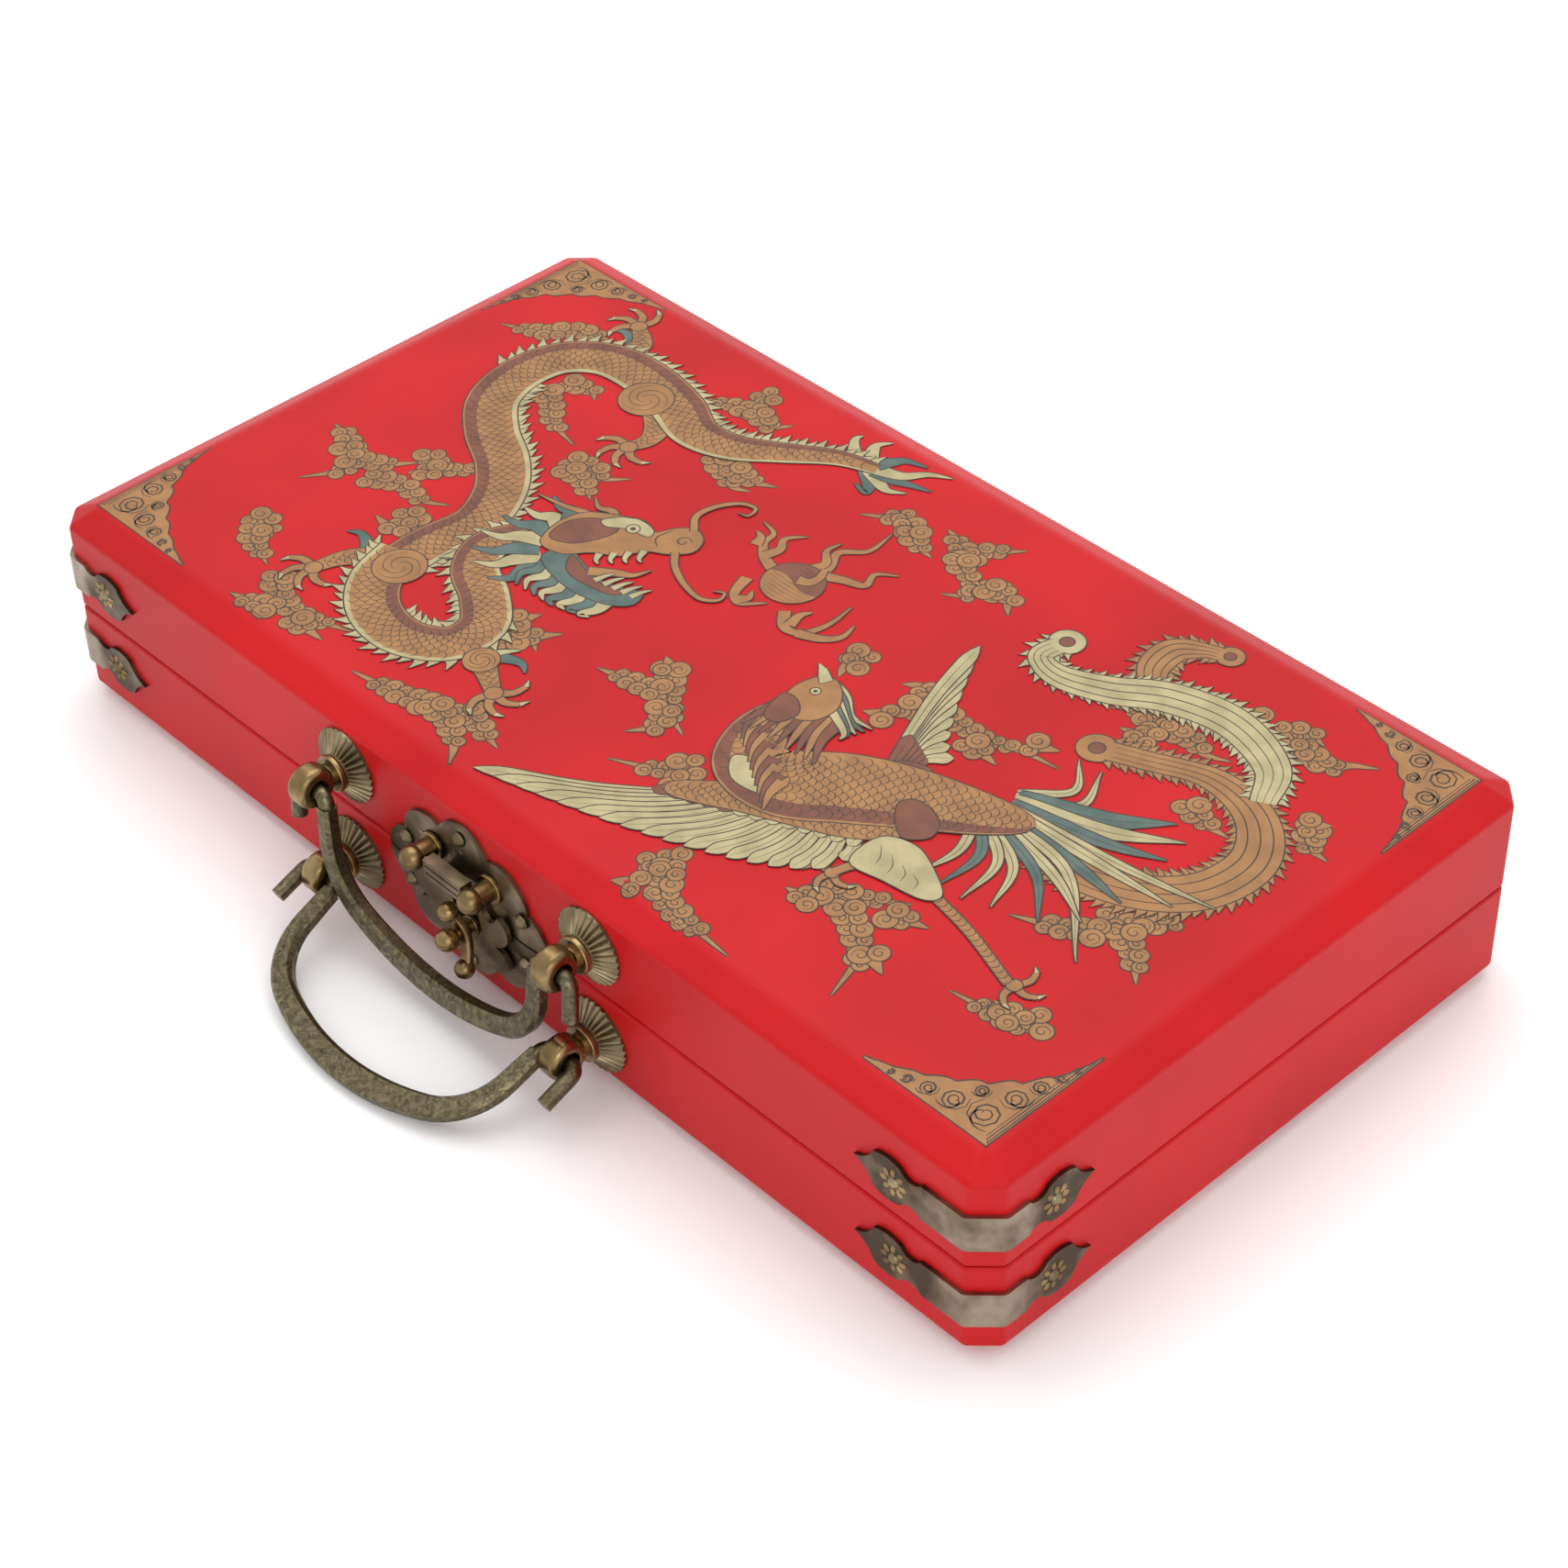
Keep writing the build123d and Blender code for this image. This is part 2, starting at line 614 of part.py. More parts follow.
def wall_shanks(side):
    """Planes and radii of every hole in the walls of the lid (side +1) or the base (side -1)."""
    holes = []
    row = parting_z + side * handle_offset
    for sign in (-1, 1):
        holes.append((on_front(fittings_x + sign * handle_half_span, row), eye_shank))
    for x, y in rivet_places(side):
        holes.append((on_front(latch_x + x, parting_z + y), rivet_shank))
    posts = [(-post_spread, post_rise), (post_spread, post_rise)] if side > 0 else [(lock_x, -lock_drop)]
    for x, y in posts:
        holes.append((on_front(latch_x + x, parting_z + y), lock_shank))
    for sign, arm in ((-1, bracket_arm_left), (1, bracket_arm_right)):
        for place in nail_planes(sign, bracket_row(side), arm):
            holes.append((place, nail_shank))
    for hinge_sign in (-1, 1):
        for x, y in hinge_nail_places(side):
            holes.append((on_back(hinge_sign * hinge_spread + x, parting_z + y), nail_shank))
    return holes


def bracket_row(side):
    """Height of the brackets of the lid (side +1) or the base (side -1)."""
    return parting_z + (bracket_rise if side > 0 else -bracket_drop)


def drilled(shell, side):
    """Drill the holes for all shanks into a wall."""
    cutters = [place * peg(radius, shank_depth) for place, radius in wall_shanks(side)]
    return shell - cutters


def group(solids):
    """Identical pieces kept as separate solids of one node."""
    return Compound(children=[Solid(piece.solid().wrapped) for piece in solids])


def build_half(name, side, place):
    """Shells, handle fittings, brackets, nails and hinge leaves of the lid or the base."""
    height = "upper" if side > 0 else "lower"
    row = parting_z + side * handle_offset
    nodes = {
        name + "_cover": drilled(place(half_cover()), side),
        name + "_board": drilled(place(half_board()), side),
        name + "_lining": place(half_lining()),
    }
    flower = rosette()
    eye = handle_eye()
    nails = []
    for sign, label, arm in ((-1, "left", bracket_arm_left), (1, "right", bracket_arm_right)):
        seat = on_front(fittings_x + sign * handle_half_span, row)
        nodes[height + "_" + label + "_rosette"] = seat * flower
        nodes[height + "_" + label + "_eye"] = seat * eye
        nodes[height + "_" + label + "_bracket"] = corner_bracket(sign, bracket_row(side), arm)
        nails += [seat_plane * nail(bracket_thickness) for seat_plane in nail_planes(sign, bracket_row(side), arm)]
    nodes[name + "_bracket_nails"] = group(nails)
    centre = on_front(latch_x, parting_z)
    nodes[name + "_latch_plate"] = centre * parted_plate(side)
    nodes[name + "_latch_rivets"] = group([centre * (Pos(x, y, 0) * rivet()) for x, y in rivet_places(side)])
    hinges = [on_back(sign * hinge_spread, parting_z) for sign in (-1, 1)]
    nodes[name + "_hinge_leaves"] = group([hinge * hinge_leaf_plate(side) for hinge in hinges])
    nodes[name + "_hinge_nails"] = group([
        hinge * (Pos(x, y, 0) * nail(hinge_leaf)) for hinge in hinges for x, y in hinge_nail_places(side)])
    return nodes


def build_latch():
    """Posts, pin, hasp, lock post and turn lever."""
    centre = on_front(latch_x, parting_z)
    return {
        "left_latch_post": centre * (Pos(-post_spread, post_rise, 0) * latch_post()),
        "right_latch_post": centre * (Pos(post_spread, post_rise, 0) * latch_post()),
        "hasp_pin": centre * (Pos(0, post_rise, pin_reach) * hasp_pin()),
        "hasp": centre * hasp(),
        "lock_post": centre * (Pos(lock_x, -lock_drop, 0) * lock_post()),
        "turn_lever": centre * (Pos(lock_x, -lock_drop, 0) * turn_lever()),
    }


def build_rest():
    """Handles, hinge pins and tile trays."""
    pin = Rot(0, 90, 0) * Cylinder(hinge_pin, hinge_width)
    pins = [on_back(sign * hinge_spread, parting_z) * (Pos(0, 0, knuckle_radius) * pin) for sign in (-1, 1)]
    return {
        "hinge_pins": group(pins),
        "upper_handle": handle(parting_z + handle_offset, upper_handle_lean),
        "lower_handle": handle(parting_z - handle_offset, lower_handle_lean),
        "left_tile_tray": tile_tray(-1),
        "right_tile_tray": tile_tray(1),
    }


def main():
    """Build every node and write one STEP file for each."""
    os.makedirs("parts", exist_ok=True)
    nodes = {}
    nodes.update(build_half("lid", 1, as_lid))
    nodes.update(build_half("base", -1, as_base))
    nodes.update(build_latch())
    nodes.update(build_rest())
    for name, shape in nodes.items():
        export_step(shape, "parts/" + name + ".step")
    print(len(nodes), "nodes written")


main()
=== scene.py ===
"""Looks of a flat red leatherette game case with bronze fittings and a printed lid.

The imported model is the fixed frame. Everything here is in metres in the model's own frame: X along the
length, -Y to the front, +Z up. Sizes written in millimetres are turned to metres by MM.
"""

import json
import logging
from dataclasses import dataclass, field
from enum import Enum
from math import atan2, cos, hypot, pi, radians, sin, sqrt, tan
from typing import Callable, Iterable, Sequence

import bpy
from mathutils import Matrix, Vector
from mathutils.geometry import tessellate_polygon


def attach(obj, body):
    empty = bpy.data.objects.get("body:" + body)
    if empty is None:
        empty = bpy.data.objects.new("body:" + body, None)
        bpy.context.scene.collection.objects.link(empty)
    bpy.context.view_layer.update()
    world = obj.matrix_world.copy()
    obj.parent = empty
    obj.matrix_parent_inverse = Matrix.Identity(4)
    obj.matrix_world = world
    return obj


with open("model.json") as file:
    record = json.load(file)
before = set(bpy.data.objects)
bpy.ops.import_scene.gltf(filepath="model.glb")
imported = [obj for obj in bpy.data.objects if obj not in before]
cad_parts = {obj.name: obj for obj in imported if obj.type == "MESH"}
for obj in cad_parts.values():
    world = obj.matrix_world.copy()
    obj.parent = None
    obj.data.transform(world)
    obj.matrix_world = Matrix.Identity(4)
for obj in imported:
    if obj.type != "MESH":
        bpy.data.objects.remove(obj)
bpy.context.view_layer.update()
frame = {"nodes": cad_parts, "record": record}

MM = 0.001
HALF_LENGTH, HALF_WIDTH = 125.0, 67.5       # of the case, in millimetres
THINNEST = 0.02                             # of a drawn strip, in millimetres
Corner = tuple[float, float, float]
Face = tuple[int, ...]
Point = tuple[float, float]
Outline = list[Point]
Width = Callable[[float], float]
Tree, Node, Socket = bpy.types.NodeTree, bpy.types.ShaderNode, bpy.types.NodeSocket
log = logging.getLogger("game_case")
MADE: dict[str, bpy.types.Material] = {}    # finishes made so far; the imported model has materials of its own


def linear(hex_code: str) -> tuple[float, float, float, float]:
    """Turn an sRGB hex colour to linear.

    Args:
        hex_code: six hex digits with a leading #.
    Returns:
        Linear red, green, blue and an alpha of 1.
    """
    channels = [int(hex_code[i:i + 2], 16) / 255 for i in (1, 3, 5)]
    lit = [c / 12.92 if c <= 0.04045 else ((c + 0.055) / 1.055) ** 2.4 for c in channels]
    return lit[0], lit[1], lit[2], 1.0


def per_mm(size: float) -> float:
    """Texture scale for a pattern whose features are size millimetres apart."""
    return 1.0 / (size * MM)


def add_node(tree: Tree, kind: str, settings: dict[str, object] | None = None,
             links: dict[str | int, Socket] | None = None, feeds: dict[str, Socket] | None = None,
             stops: Sequence[tuple[float, str]] = ()) -> Node:
    """Add one node with its settings and links.

    Args:
        tree: the material's node tree.
        kind: Blender's name of the node type.
        settings: attributes of the node, or default values of its inputs by name.
        links: sockets that feed its inputs, by input name or index.
        feeds: sockets that its outputs feed, by output name.
        stops: position and hex colour of each stop, in order, where the node has a colour band.
    Returns:
        The node.
    """
    node = tree.nodes.new(kind)
    for name, value in (settings or {}).items():
        if name in node.inputs:
            node.inputs[name].default_value = value
        else:
            setattr(node, name, value)
    for name, socket in (links or {}).items():
        tree.links.new(socket, node.inputs[name])
    for name, socket in (feeds or {}).items():
        tree.links.new(node.outputs[name], socket)
    for number, (place, colour) in enumerate(stops):
        elements = node.color_ramp.elements
        element = elements[number] if number < 2 else elements.new(place)
        element.position = place
        element.color = linear(colour)
    return node


class Relief(Enum):
    """Patterns of a fine relief: the texture node, its settings and the output that gives the height."""

    GRAIN = ("ShaderNodeTexNoise", {"Detail": 3.0}, "Fac")
    PITS = ("ShaderNodeTexNoise", {"Detail": 2.0}, "Fac")
    FIBRES = ("ShaderNodeTexNoise", {"Detail": 5.0}, "Fac")
    PEBBLES = ("ShaderNodeTexVoronoi", {"feature": "SMOOTH_F1"}, "Distance")


@dataclass(frozen=True)
class Finish:
    """Tones that drift into each other in patches, under a fine relief; sizes in millimetres."""

    name: str
    roughness: float = 0.5
    tones: tuple[str, ...] = ()     # from dark to light
    blend: float = 0.15             # reach of the tones to each side of the noise's middle
    patch: float = 5.0
    detail: float = 3.0
    swirl: float = 0.0              # how far the patches are twisted
    stretch: tuple[float, float, float] = (1.0, 1.0, 1.0)
    relief: Relief = Relief.GRAIN
    grain: float = 0.5
    depth: float = 0.02
    sockets: tuple[tuple[str, float], ...] = (("IOR", 1.5),)    # values that are the same all over

    def material(self) -> bpy.types.Material:
        """The Blender material, made once."""
        if self.name in MADE:
            return MADE[self.name]
        made = MADE[self.name] = bpy.data.materials.new(self.name)
        made.use_nodes = True
        shader = made.node_tree.nodes["Principled BSDF"]
        for socket, value in (("Roughness", self.roughness), *self.sockets):
            shader.inputs[socket].default_value = value
        self.paint(made.node_tree, shader)
        return made

    def paint(self, tree: Tree, shader: Node) -> None:
        """Lay the tones and the relief."""
        place = add_node(tree, "ShaderNodeTexCoord").outputs["Object"]
        drawn = add_node(tree, "ShaderNodeMapping", {"Scale": self.stretch}, {"Vector": place}).outputs["Vector"]
        patches = add_node(tree, "ShaderNodeTexNoise", {"Scale": per_mm(self.patch), "Detail": self.detail,
                                                        "Distortion": self.swirl}, {"Vector": drawn})
        spread = 2 * self.blend / (len(self.tones) - 1)
        add_node(tree, "ShaderNodeValToRGB", links={"Fac": self.tone_pattern(tree, shader, place, patches.outputs["Fac"])},
                 feeds={"Color": shader.inputs["Base Color"]},
                 stops=[(0.5 - self.blend + spread * i, tone) for i, tone in enumerate(self.tones)])
        kind, settings, height = self.relief.value
        bumps = add_node(tree, kind, {"Scale": per_mm(self.grain), **settings}, {"Vector": drawn})
        add_node(tree, "ShaderNodeBump", {"Distance": self.depth * MM}, {"Height": bumps.outputs[height]},
                 {"Normal": shader.inputs["Normal"]})

    def tone_pattern(self, tree: Tree, shader: Node, place: Socket, patches: Socket) -> Socket:
        """What the tones follow: here the patches as they are."""
        return patches


@dataclass(frozen=True)
class Leatherette(Finish):
    """PVC-coated cloth, embossed with a fine pebble: bright red, satin, a little mottled."""

    roughness: float = 0.42
    tones: tuple[str, ...] = ("#AE080F", "#BE0A12")
    patch: float = 40.0
    relief: Relief = Relief.PEBBLES
    grain: float = 0.9      # the real pebble is near 0.4 mm, drawn coarser so that it shows
    depth: float = 0.028
    sockets: tuple[tuple[str, float], ...] = (("IOR", 1.5), ("Specular IOR Level", 0.2))    # worn, so less bright


@dataclass(frozen=True)
class PrintInk(Finish):
    """Screen-printed ink under a thin glaze: matt colour that covers a little unevenly, with a fine grain."""

    grain: float = 0.6      # screen dots are near 0.2 mm, drawn coarser so that they show
    depth: float = 0.012


@dataclass(frozen=True)
class AgedMetal(Finish):
    """Pressed or cast brass, chemically darkened and rubbed back: soft patches of patina and fine pits."""

    blend: float = 0.25
    patch: float = 6.0
    detail: float = 5.0
    relief: Relief = Relief.PITS    # casting pits are near 0.2 mm, drawn coarser so that they show
    sockets: tuple[tuple[str, float], ...] = (("Metallic", 1.0),)
    rubbed: bool = False    # painted highlight: the metal is painted brighter where it bends round a corner of the case
    bend: tuple[float, float] = (8.0, 13.0)     # distance from the corner over which that ends
    shift: tuple[float, float] = (0.1, -0.24)   # painted highlight towards the light tone at the bend, and painted shade away from it beyond

    def tone_pattern(self, tree: Tree, shader: Node, place: Socket, patches: Socket) -> Socket:
        """Gloss that follows the patina, and a painted highlight near the bend round a corner, with painted shade
        beyond it.
        """
        add_node(tree, "ShaderNodeMapRange", {"From Min": 0.3, "From Max": 0.7, "To Min": self.roughness + 0.10,
                                              "To Max": self.roughness - 0.06},
                 {"Value": patches}, {"Result": shader.inputs["Roughness"]})
        if not self.rubbed:
            return patches
        # Painted highlight and shade: the tones are pushed light within the bend's reach of a case corner and dark
        # beyond it
        folded = add_node(tree, "ShaderNodeVectorMath", {"operation": "ABSOLUTE"}, {0: place})
        beside = add_node(tree, "ShaderNodeMapping", {"Location": (-HALF_LENGTH * MM, -HALF_WIDTH * MM, 0.0),
                                                      "Scale": (1.0, 1.0, 0.0)},
                          {"Vector": folded.outputs["Vector"]})
        away = add_node(tree, "ShaderNodeVectorMath", {"operation": "LENGTH"}, {0: beside.outputs["Vector"]})
        rub = add_node(tree, "ShaderNodeMapRange",
                       {"From Min": self.bend[0] * MM, "From Max": self.bend[1] * MM,
                        "To Min": self.shift[0], "To Max": self.shift[1]}, {"Value": away.outputs["Value"]})
        return add_node(tree, "ShaderNodeMath", {"operation": "ADD"},
                        {0: patches, 1: rub.outputs["Result"]}).outputs["Value"]


@dataclass(frozen=True)
class Velvet(Finish):
    """Short flocked pile: deep red in brushed patches, no gloss, a pale sheen at grazing angles."""

    roughness: float = 0.9
    tones: tuple[str, ...] = ("#3C080E", "#5E1018")
    patch: float = 9.0
    depth: float = 0.05
    sockets: tuple[tuple[str, float], ...] = (("IOR", 1.5), ("Sheen Weight", 0.6))


@dataclass(frozen=True)
class Board(Finish):
    """Pressed fibre board: pale brown with short fibres when raw, near black and glossy when lacquered."""

    roughness: float = 0.8
    tones: tuple[str, ...] = ("#8F6B42", "#B08A5C")
    blend: float = 0.2
    patch: float = 6.0
    detail: float = 5.0
    stretch: tuple[float, float, float] = (1.0, 6.0, 6.0)
    relief: Relief = Relief.FIBRES
    grain: float = 6.0
    depth: float = 0.03


class Ink(Enum):
    """The inks of the lid's print."""

    OCHRE = PrintInk("print_ochre", tones=("#8C5F30", "#9F6F3B"))
    RUSSET = PrintInk("print_russet", tones=("#64321C", "#774026"))
    CREAM = PrintInk("print_cream", tones=("#9A8E64", "#B0A478"))
    TEAL = PrintInk("print_teal", tones=("#3C524E", "#50645E"))
    LINE = PrintInk("print_line", tones=("#2A1A0C", "#3A2512"))


OCHRE, RUSSET, CREAM, TEAL, LINE = Ink

FINISHES: dict[str, Finish] = {
    "red_leatherette": Leatherette("embossed_red_pvc"),
    "board": Board("raw_board"),
    "velvet": Velvet("red_velvet"),
    "tray_lacquer": Board("black_lacquered_board", 0.35, ("#14100E", "#241C19"),
                          sockets=(("IOR", 1.5), ("Coat Weight", 0.5))),
    "hinge_brass": AgedMetal("aged_hinge_brass", 0.38, ("#6A5834", "#8F7A48", "#AF9860")),
    "handle_bronze": AgedMetal("cast_handle_brass", 0.36, ("#423C2C", "#665E48", "#8A8063"),
                               patch=2.2, swirl=2.5, depth=0.05),
    "dark_bronze": AgedMetal("dark_latch_bronze", 0.36, ("#54483C", "#786A56", "#9C8B72")),
    "turned_bronze": AgedMetal("turned_latch_brass", 0.26, ("#5E4E34", "#86704A", "#AC946A")),
    "aged_bronze": AgedMetal("pressed_fitting_bronze", 0.34, ("#584C38", "#7E7056", "#9E8F70")),
}
# Bracket bronze with a painted highlight at the bend round each corner and painted shade on the leaves beyond
BRACKET_SHEET = AgedMetal("rubbed_bracket_bronze", 0.34, ("#473B2C", "#7A6C58", "#A09280"), rubbed=True)


def put(name: str, data: bpy.types.ID) -> bpy.types.Object:
    """Add an object to the scene."""
    made = bpy.data.objects.new(name, data)
    bpy.context.scene.collection.objects.link(made)
    return made


def mesh_piece(name: str, corners: Sequence[Corner], faces: Sequence[Face], finish: Finish, body: str) -> None:
    """Make a piece from corners and faces and let it ride.

    Args:
        name: the piece's name.
        corners: corners in metres.
        faces: corner numbers of each face.
        finish: its finish.
        body: the body that it rides on.
    """
    mesh = bpy.data.meshes.new(name)
    mesh.from_pydata(corners, [], faces)
    mesh.validate()
    mesh.materials.append(finish.material())
    piece = put(name, mesh)
    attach(piece, body)
    log.info("%s: %d corners on %s", name, len(mesh.vertices), body)


@dataclass
class Shell:
    """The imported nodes: each keeps its shape and gets the finish of its material slot."""

    slots: dict[str, str] = field(default_factory=dict)

    def dress(self) -> None:
        """Give every CAD node its finish."""
        for row in frame["record"]["subparts"]:
            self.slots[row["node"]] = row["material_slot"]
        for name, node in frame["nodes"].items():
            finish = BRACKET_SHEET if name.endswith("_bracket") else FINISHES[self.slots[name]]
            node.data.materials.clear()
            node.data.materials.append(finish.material())
            log.info("%s wears %s", name, finish.name)


@dataclass
class BracketFlowers:
    """Embossed eight-petal flowers round the nails of the corner brackets, sizes in millimetres."""

    petals: int = 8
    petal_reach: float = 2.1
    petal_length: float = 1.7
    petal_width: float = 1.15
    petal_height: float = 0.35
    sheet: float = 0.8
    sunk: float = 0.02
    rings: int = 4
    sides: int = 12
    rows: tuple[tuple[str, float], ...] = (("lid", 30.6), ("base", 12.7))
    front_nails: tuple[float, float] = (-110.0, 105.3)
    side_nail_y: float = -52.5

    def build(self) -> None:
        """All flowers, one piece for each body."""
        for body, height in self.rows:
            corners: list[Vector] = []
            faces: list[Face] = []
            for x in self.front_nails:
                self.flower(Matrix.Translation((x, -HALF_WIDTH - self.sheet, height))
                            @ Matrix.Rotation(pi / 2, 4, "X"), corners, faces)
            for side in (-1, 1):
                self.flower(Matrix.Translation((side * (HALF_LENGTH + self.sheet), self.side_nail_y, height))
                            @ Matrix.Rotation(side * pi / 2, 4, "Y"), corners, faces)
            mesh_piece(body + "_bracket_flowers", [tuple(c * MM) for c in corners], faces,
                       FINISHES["turned_bronze"], body)

    def flower(self, seat: Matrix, corners: list[Vector], faces: list[Face]) -> None:
        """One flower.

        Args:
            seat: place of the flower, with its z pointing off the sheet.
            corners: the list that its corners join.
            faces: the list that its faces join.
        """
        rings, sides = self.rings, self.sides
        for petal in range(self.petals):
            turn = Matrix.Rotation(2 * pi * petal / self.petals, 4, "Z")
            first = len(corners)
            for ring in range(rings):
                angle = ring / rings * pi / 2
                for step in range(sides):
                    around = 2 * pi * step / sides
                    spot = Vector((self.petal_reach + self.petal_length / 2 * cos(angle) * cos(around),
                                   self.petal_width / 2 * cos(angle) * sin(around),
                                   self.petal_height * sin(angle) - self.sunk))
                    corners.append(seat @ turn @ spot)
            corners.append(seat @ turn @ Vector((self.petal_reach, 0, self.petal_height - self.sunk)))
            top = len(corners) - 1
            for ring in range(rings - 1):
                for step in range(sides):
                    a = first + ring * sides + step
                    b = first + ring * sides + (step + 1) % sides
                    faces.append((a, b, b + sides, a + sides))
            last = first + (rings - 1) * sides
            for step in range(sides):
                faces.append((last + step, last + (step + 1) % sides, top))
            faces.append(tuple(reversed(range(first, first + sides))))


def signed_area(ring: Sequence[Point]) -> float:
    """Area of a closed outline, positive when it turns left."""
    return sum(a[0] * b[1] - b[0] * a[1] for a, b in zip(ring, list(ring[1:]) + [ring[0]])) / 2


def smooth(points: Sequence[Point], steps: int = 8, closed: bool = False) -> Outline:
    """Smooth curve through points.

    Args:
        points: the points it goes through.
        steps: steps from one point to the next.
        closed: whether it returns to its start.
    Returns:
        Points along the curve.
    """
    n = len(points)
    made: Outline = []
    for i in range(n if closed else n - 1):
        if closed:
            a, b, c, d = (points[(i + k) % n] for k in (-1, 0, 1, 2))
        else:
            b, c = points[i], points[i + 1]
            a = points[i - 1] if i > 0 else (2 * b[0] - c[0], 2 * b[1] - c[1])
            d = points[i + 2] if i + 2 < n else (2 * c[0] - b[0], 2 * c[1] - b[1])
        for step in range(steps):
            t = step / steps
            made.append(tuple(0.5 * (2 * b[k] + (c[k] - a[k]) * t + (2 * a[k] - 5 * b[k] + 4 * c[k] - d[k]) * t * t
                                     + (3 * b[k] - a[k] - 3 * c[k] + d[k]) * t ** 3) for k in (0, 1)))
    if not closed:
        made.append(points[-1])
    return made


def headings(path: Outline) -> list[Point]:
    """Unit direction of a path at each point."""
    made: list[Point] = []
    for i in range(len(path)):
        a, b = path[max(i - 1, 0)], path[min(i + 1, len(path) - 1)]
        size = hypot(b[0] - a[0], b[1] - a[1]) or 1.0
        made.append(((b[0] - a[0]) / size, (b[1] - a[1]) / size))
    return made


def rails(path: Outline, width: Width) -> tuple[Outline, Outline]:
    """Left and right side of a strip along a path."""
    left: Outline = []
    right: Outline = []
    for i, ((x, y), (dx, dy)) in enumerate(zip(path, headings(path))):
        half = max(width(i / (len(path) - 1)), THINNEST) / 2
        left.append((x - dy * half, y + dx * half))
        right.append((x + dy * half, y - dx * half))
    return left, right


def spaced(path: Outline, pitch: float) -> Outline:
    """Points at even steps along a path."""
    made, left = [path[0]], pitch
    for a, b in zip(path, path[1:]):
        size = hypot(b[0] - a[0], b[1] - a[1])
        at = left
        while at <= size:
            made.append((a[0] + (b[0] - a[0]) * at / size, a[1] + (b[1] - a[1]) * at / size))
            at += pitch
        left = at - size
    return made


def grown(outline: Outline, by: float) -> Outline:
    """Outline moved outward by a distance."""
    sign = 1 if signed_area(outline) > 0 else -1
    made: Outline = []
    for i, (x, y) in enumerate(outline):
        a, b = outline[i - 1], outline[(i + 1) % len(outline)]
        size = hypot(b[0] - a[0], b[1] - a[1]) or 1.0
        made.append((x + sign * by * (b[1] - a[1]) / size, y - sign * by * (b[0] - a[0]) / size))
    return made


def disc(centre: Point, radius: float, sides: int = 20) -> Outline:
    """Round outline."""
    return [(centre[0] + radius * cos(2 * pi * i / sides), centre[1] + radius * sin(2 * pi * i / sides))
            for i in range(sides)]


def spiral(centre: Point, radius: float, start: float, turns: float, hand: int = 1) -> Outline:
    """Curl that winds in to its centre."""
    steps, core = 18, 0.18
    made: Outline = []
    for i in range(steps + 1):
        reach = radius * (1 - (1 - core) * i / steps)
        angle = start + hand * 2 * pi * turns * i / steps
        made.append((centre[0] + reach * cos(angle), centre[1] + reach * sin(angle)))
    return made


@dataclass
class Print:
    """The printed lid: closed thin films in painter's order, each a little higher than the last, in millimetres.

    The design is laid out on a sheet of 1524 by 833 units, about six to the millimetre, with its origin at the
    back left and the second number growing towards the front.
    """

    units: float = 6.0      # of the design's sheet to a millimetre
    origin: Point = (-127.0, 69.36)     # of the design's sheet, on the lid
    drawn_in: Point = (3.8, 3.2)        # how far the left and the back margin move towards the middle
    starts: Point = (750.0, 408.0)      # where that begins, in units
    over: Point = (725.0, 380.0)        # how long it takes, in units
    lid_top: float = 44.0
    bevel_width: float = 5.9
    bevel_drop: float = 3.0
    bevel_soft: float = 7.0
    lowest: float = 0.02    # height of the first film
    above_clouds: float = 0.11
    step: float = 0.0005    # rise from film to film, so that no two lie at one height
    sunk: float = 0.02
    rise: float = 0.02
    films: dict[Ink, tuple[list[Corner], list[Face]]] = field(default_factory=dict)

    def on_lid(self, u: float, v: float) -> Point:
        """Millimetres on the lid for a place on the design's sheet, drawn in at the back and the left margin."""
        x = u / self.units + self.origin[0] + self.drawn_in[0] * max(0.0, (self.starts[0] - u) / self.over[0]) ** 2
        y = self.origin[1] - v / self.units - self.drawn_in[1] * max(0.0, (self.starts[1] - v) / self.over[1]) ** 2
        return x, y

    def surface(self, x: float, y: float) -> float:
        """Height of the lid at a place: flat, then the soft turn of the bevel."""
        inset = min(HALF_LENGTH - abs(x), HALF_WIDTH - abs(y))
        slope = atan2(self.bevel_drop, self.bevel_width)
        start = self.bevel_width + self.bevel_soft * tan(slope / 2)
        run = min(max(0.0, start - inset), self.bevel_soft * sin(slope))
        return self.lid_top - (self.bevel_soft - sqrt(self.bevel_soft ** 2 - run ** 2))

    def lay(self, ink: Ink, corners: Sequence[Point], faces: Sequence[Face]) -> None:
        """Lay one closed film at the present height.

        Args:
            ink: the ink.
            corners: corners in millimetres on the lid.
            faces: corner numbers of the flat faces, all turning left.
        """
        points, made = self.films.setdefault(ink, ([], []))
        first, count = len(points), len(corners)
        for lift in (self.rise, -self.sunk):
            points.extend((x * MM, y * MM, (self.surface(x, y) + lift) * MM) for x, y in corners)
        rim: set[tuple[int, int]] = set()
        for face in faces:
            made.append(tuple(first + i for i in face))
            made.append(tuple(first + count + i for i in reversed(face)))
            for a, b in zip(face, face[1:] + face[:1]):
                if (b, a) in rim:
                    rim.remove((b, a))
                else:
                    rim.add((a, b))
        for a, b in sorted(rim):
            made.append((first + b, first + a, first + count + a, first + count + b))

    def build(self) -> None:
        """Draw the design and make one piece for each ink."""
        for part in (Clouds(self), Corners(self), Pearl(self), Dragon(self), Phoenix(self)):
            self.rise = self.lowest if isinstance(part, (Clouds, Corners)) else self.above_clouds
            part.draw()
            log.info("%s drawn, top film %.3f mm over the lid", type(part).__name__, self.rise)
        for ink, (corners, faces) in self.films.items():
            mesh_piece(ink.value.name, corners, faces, ink.value, "lid")


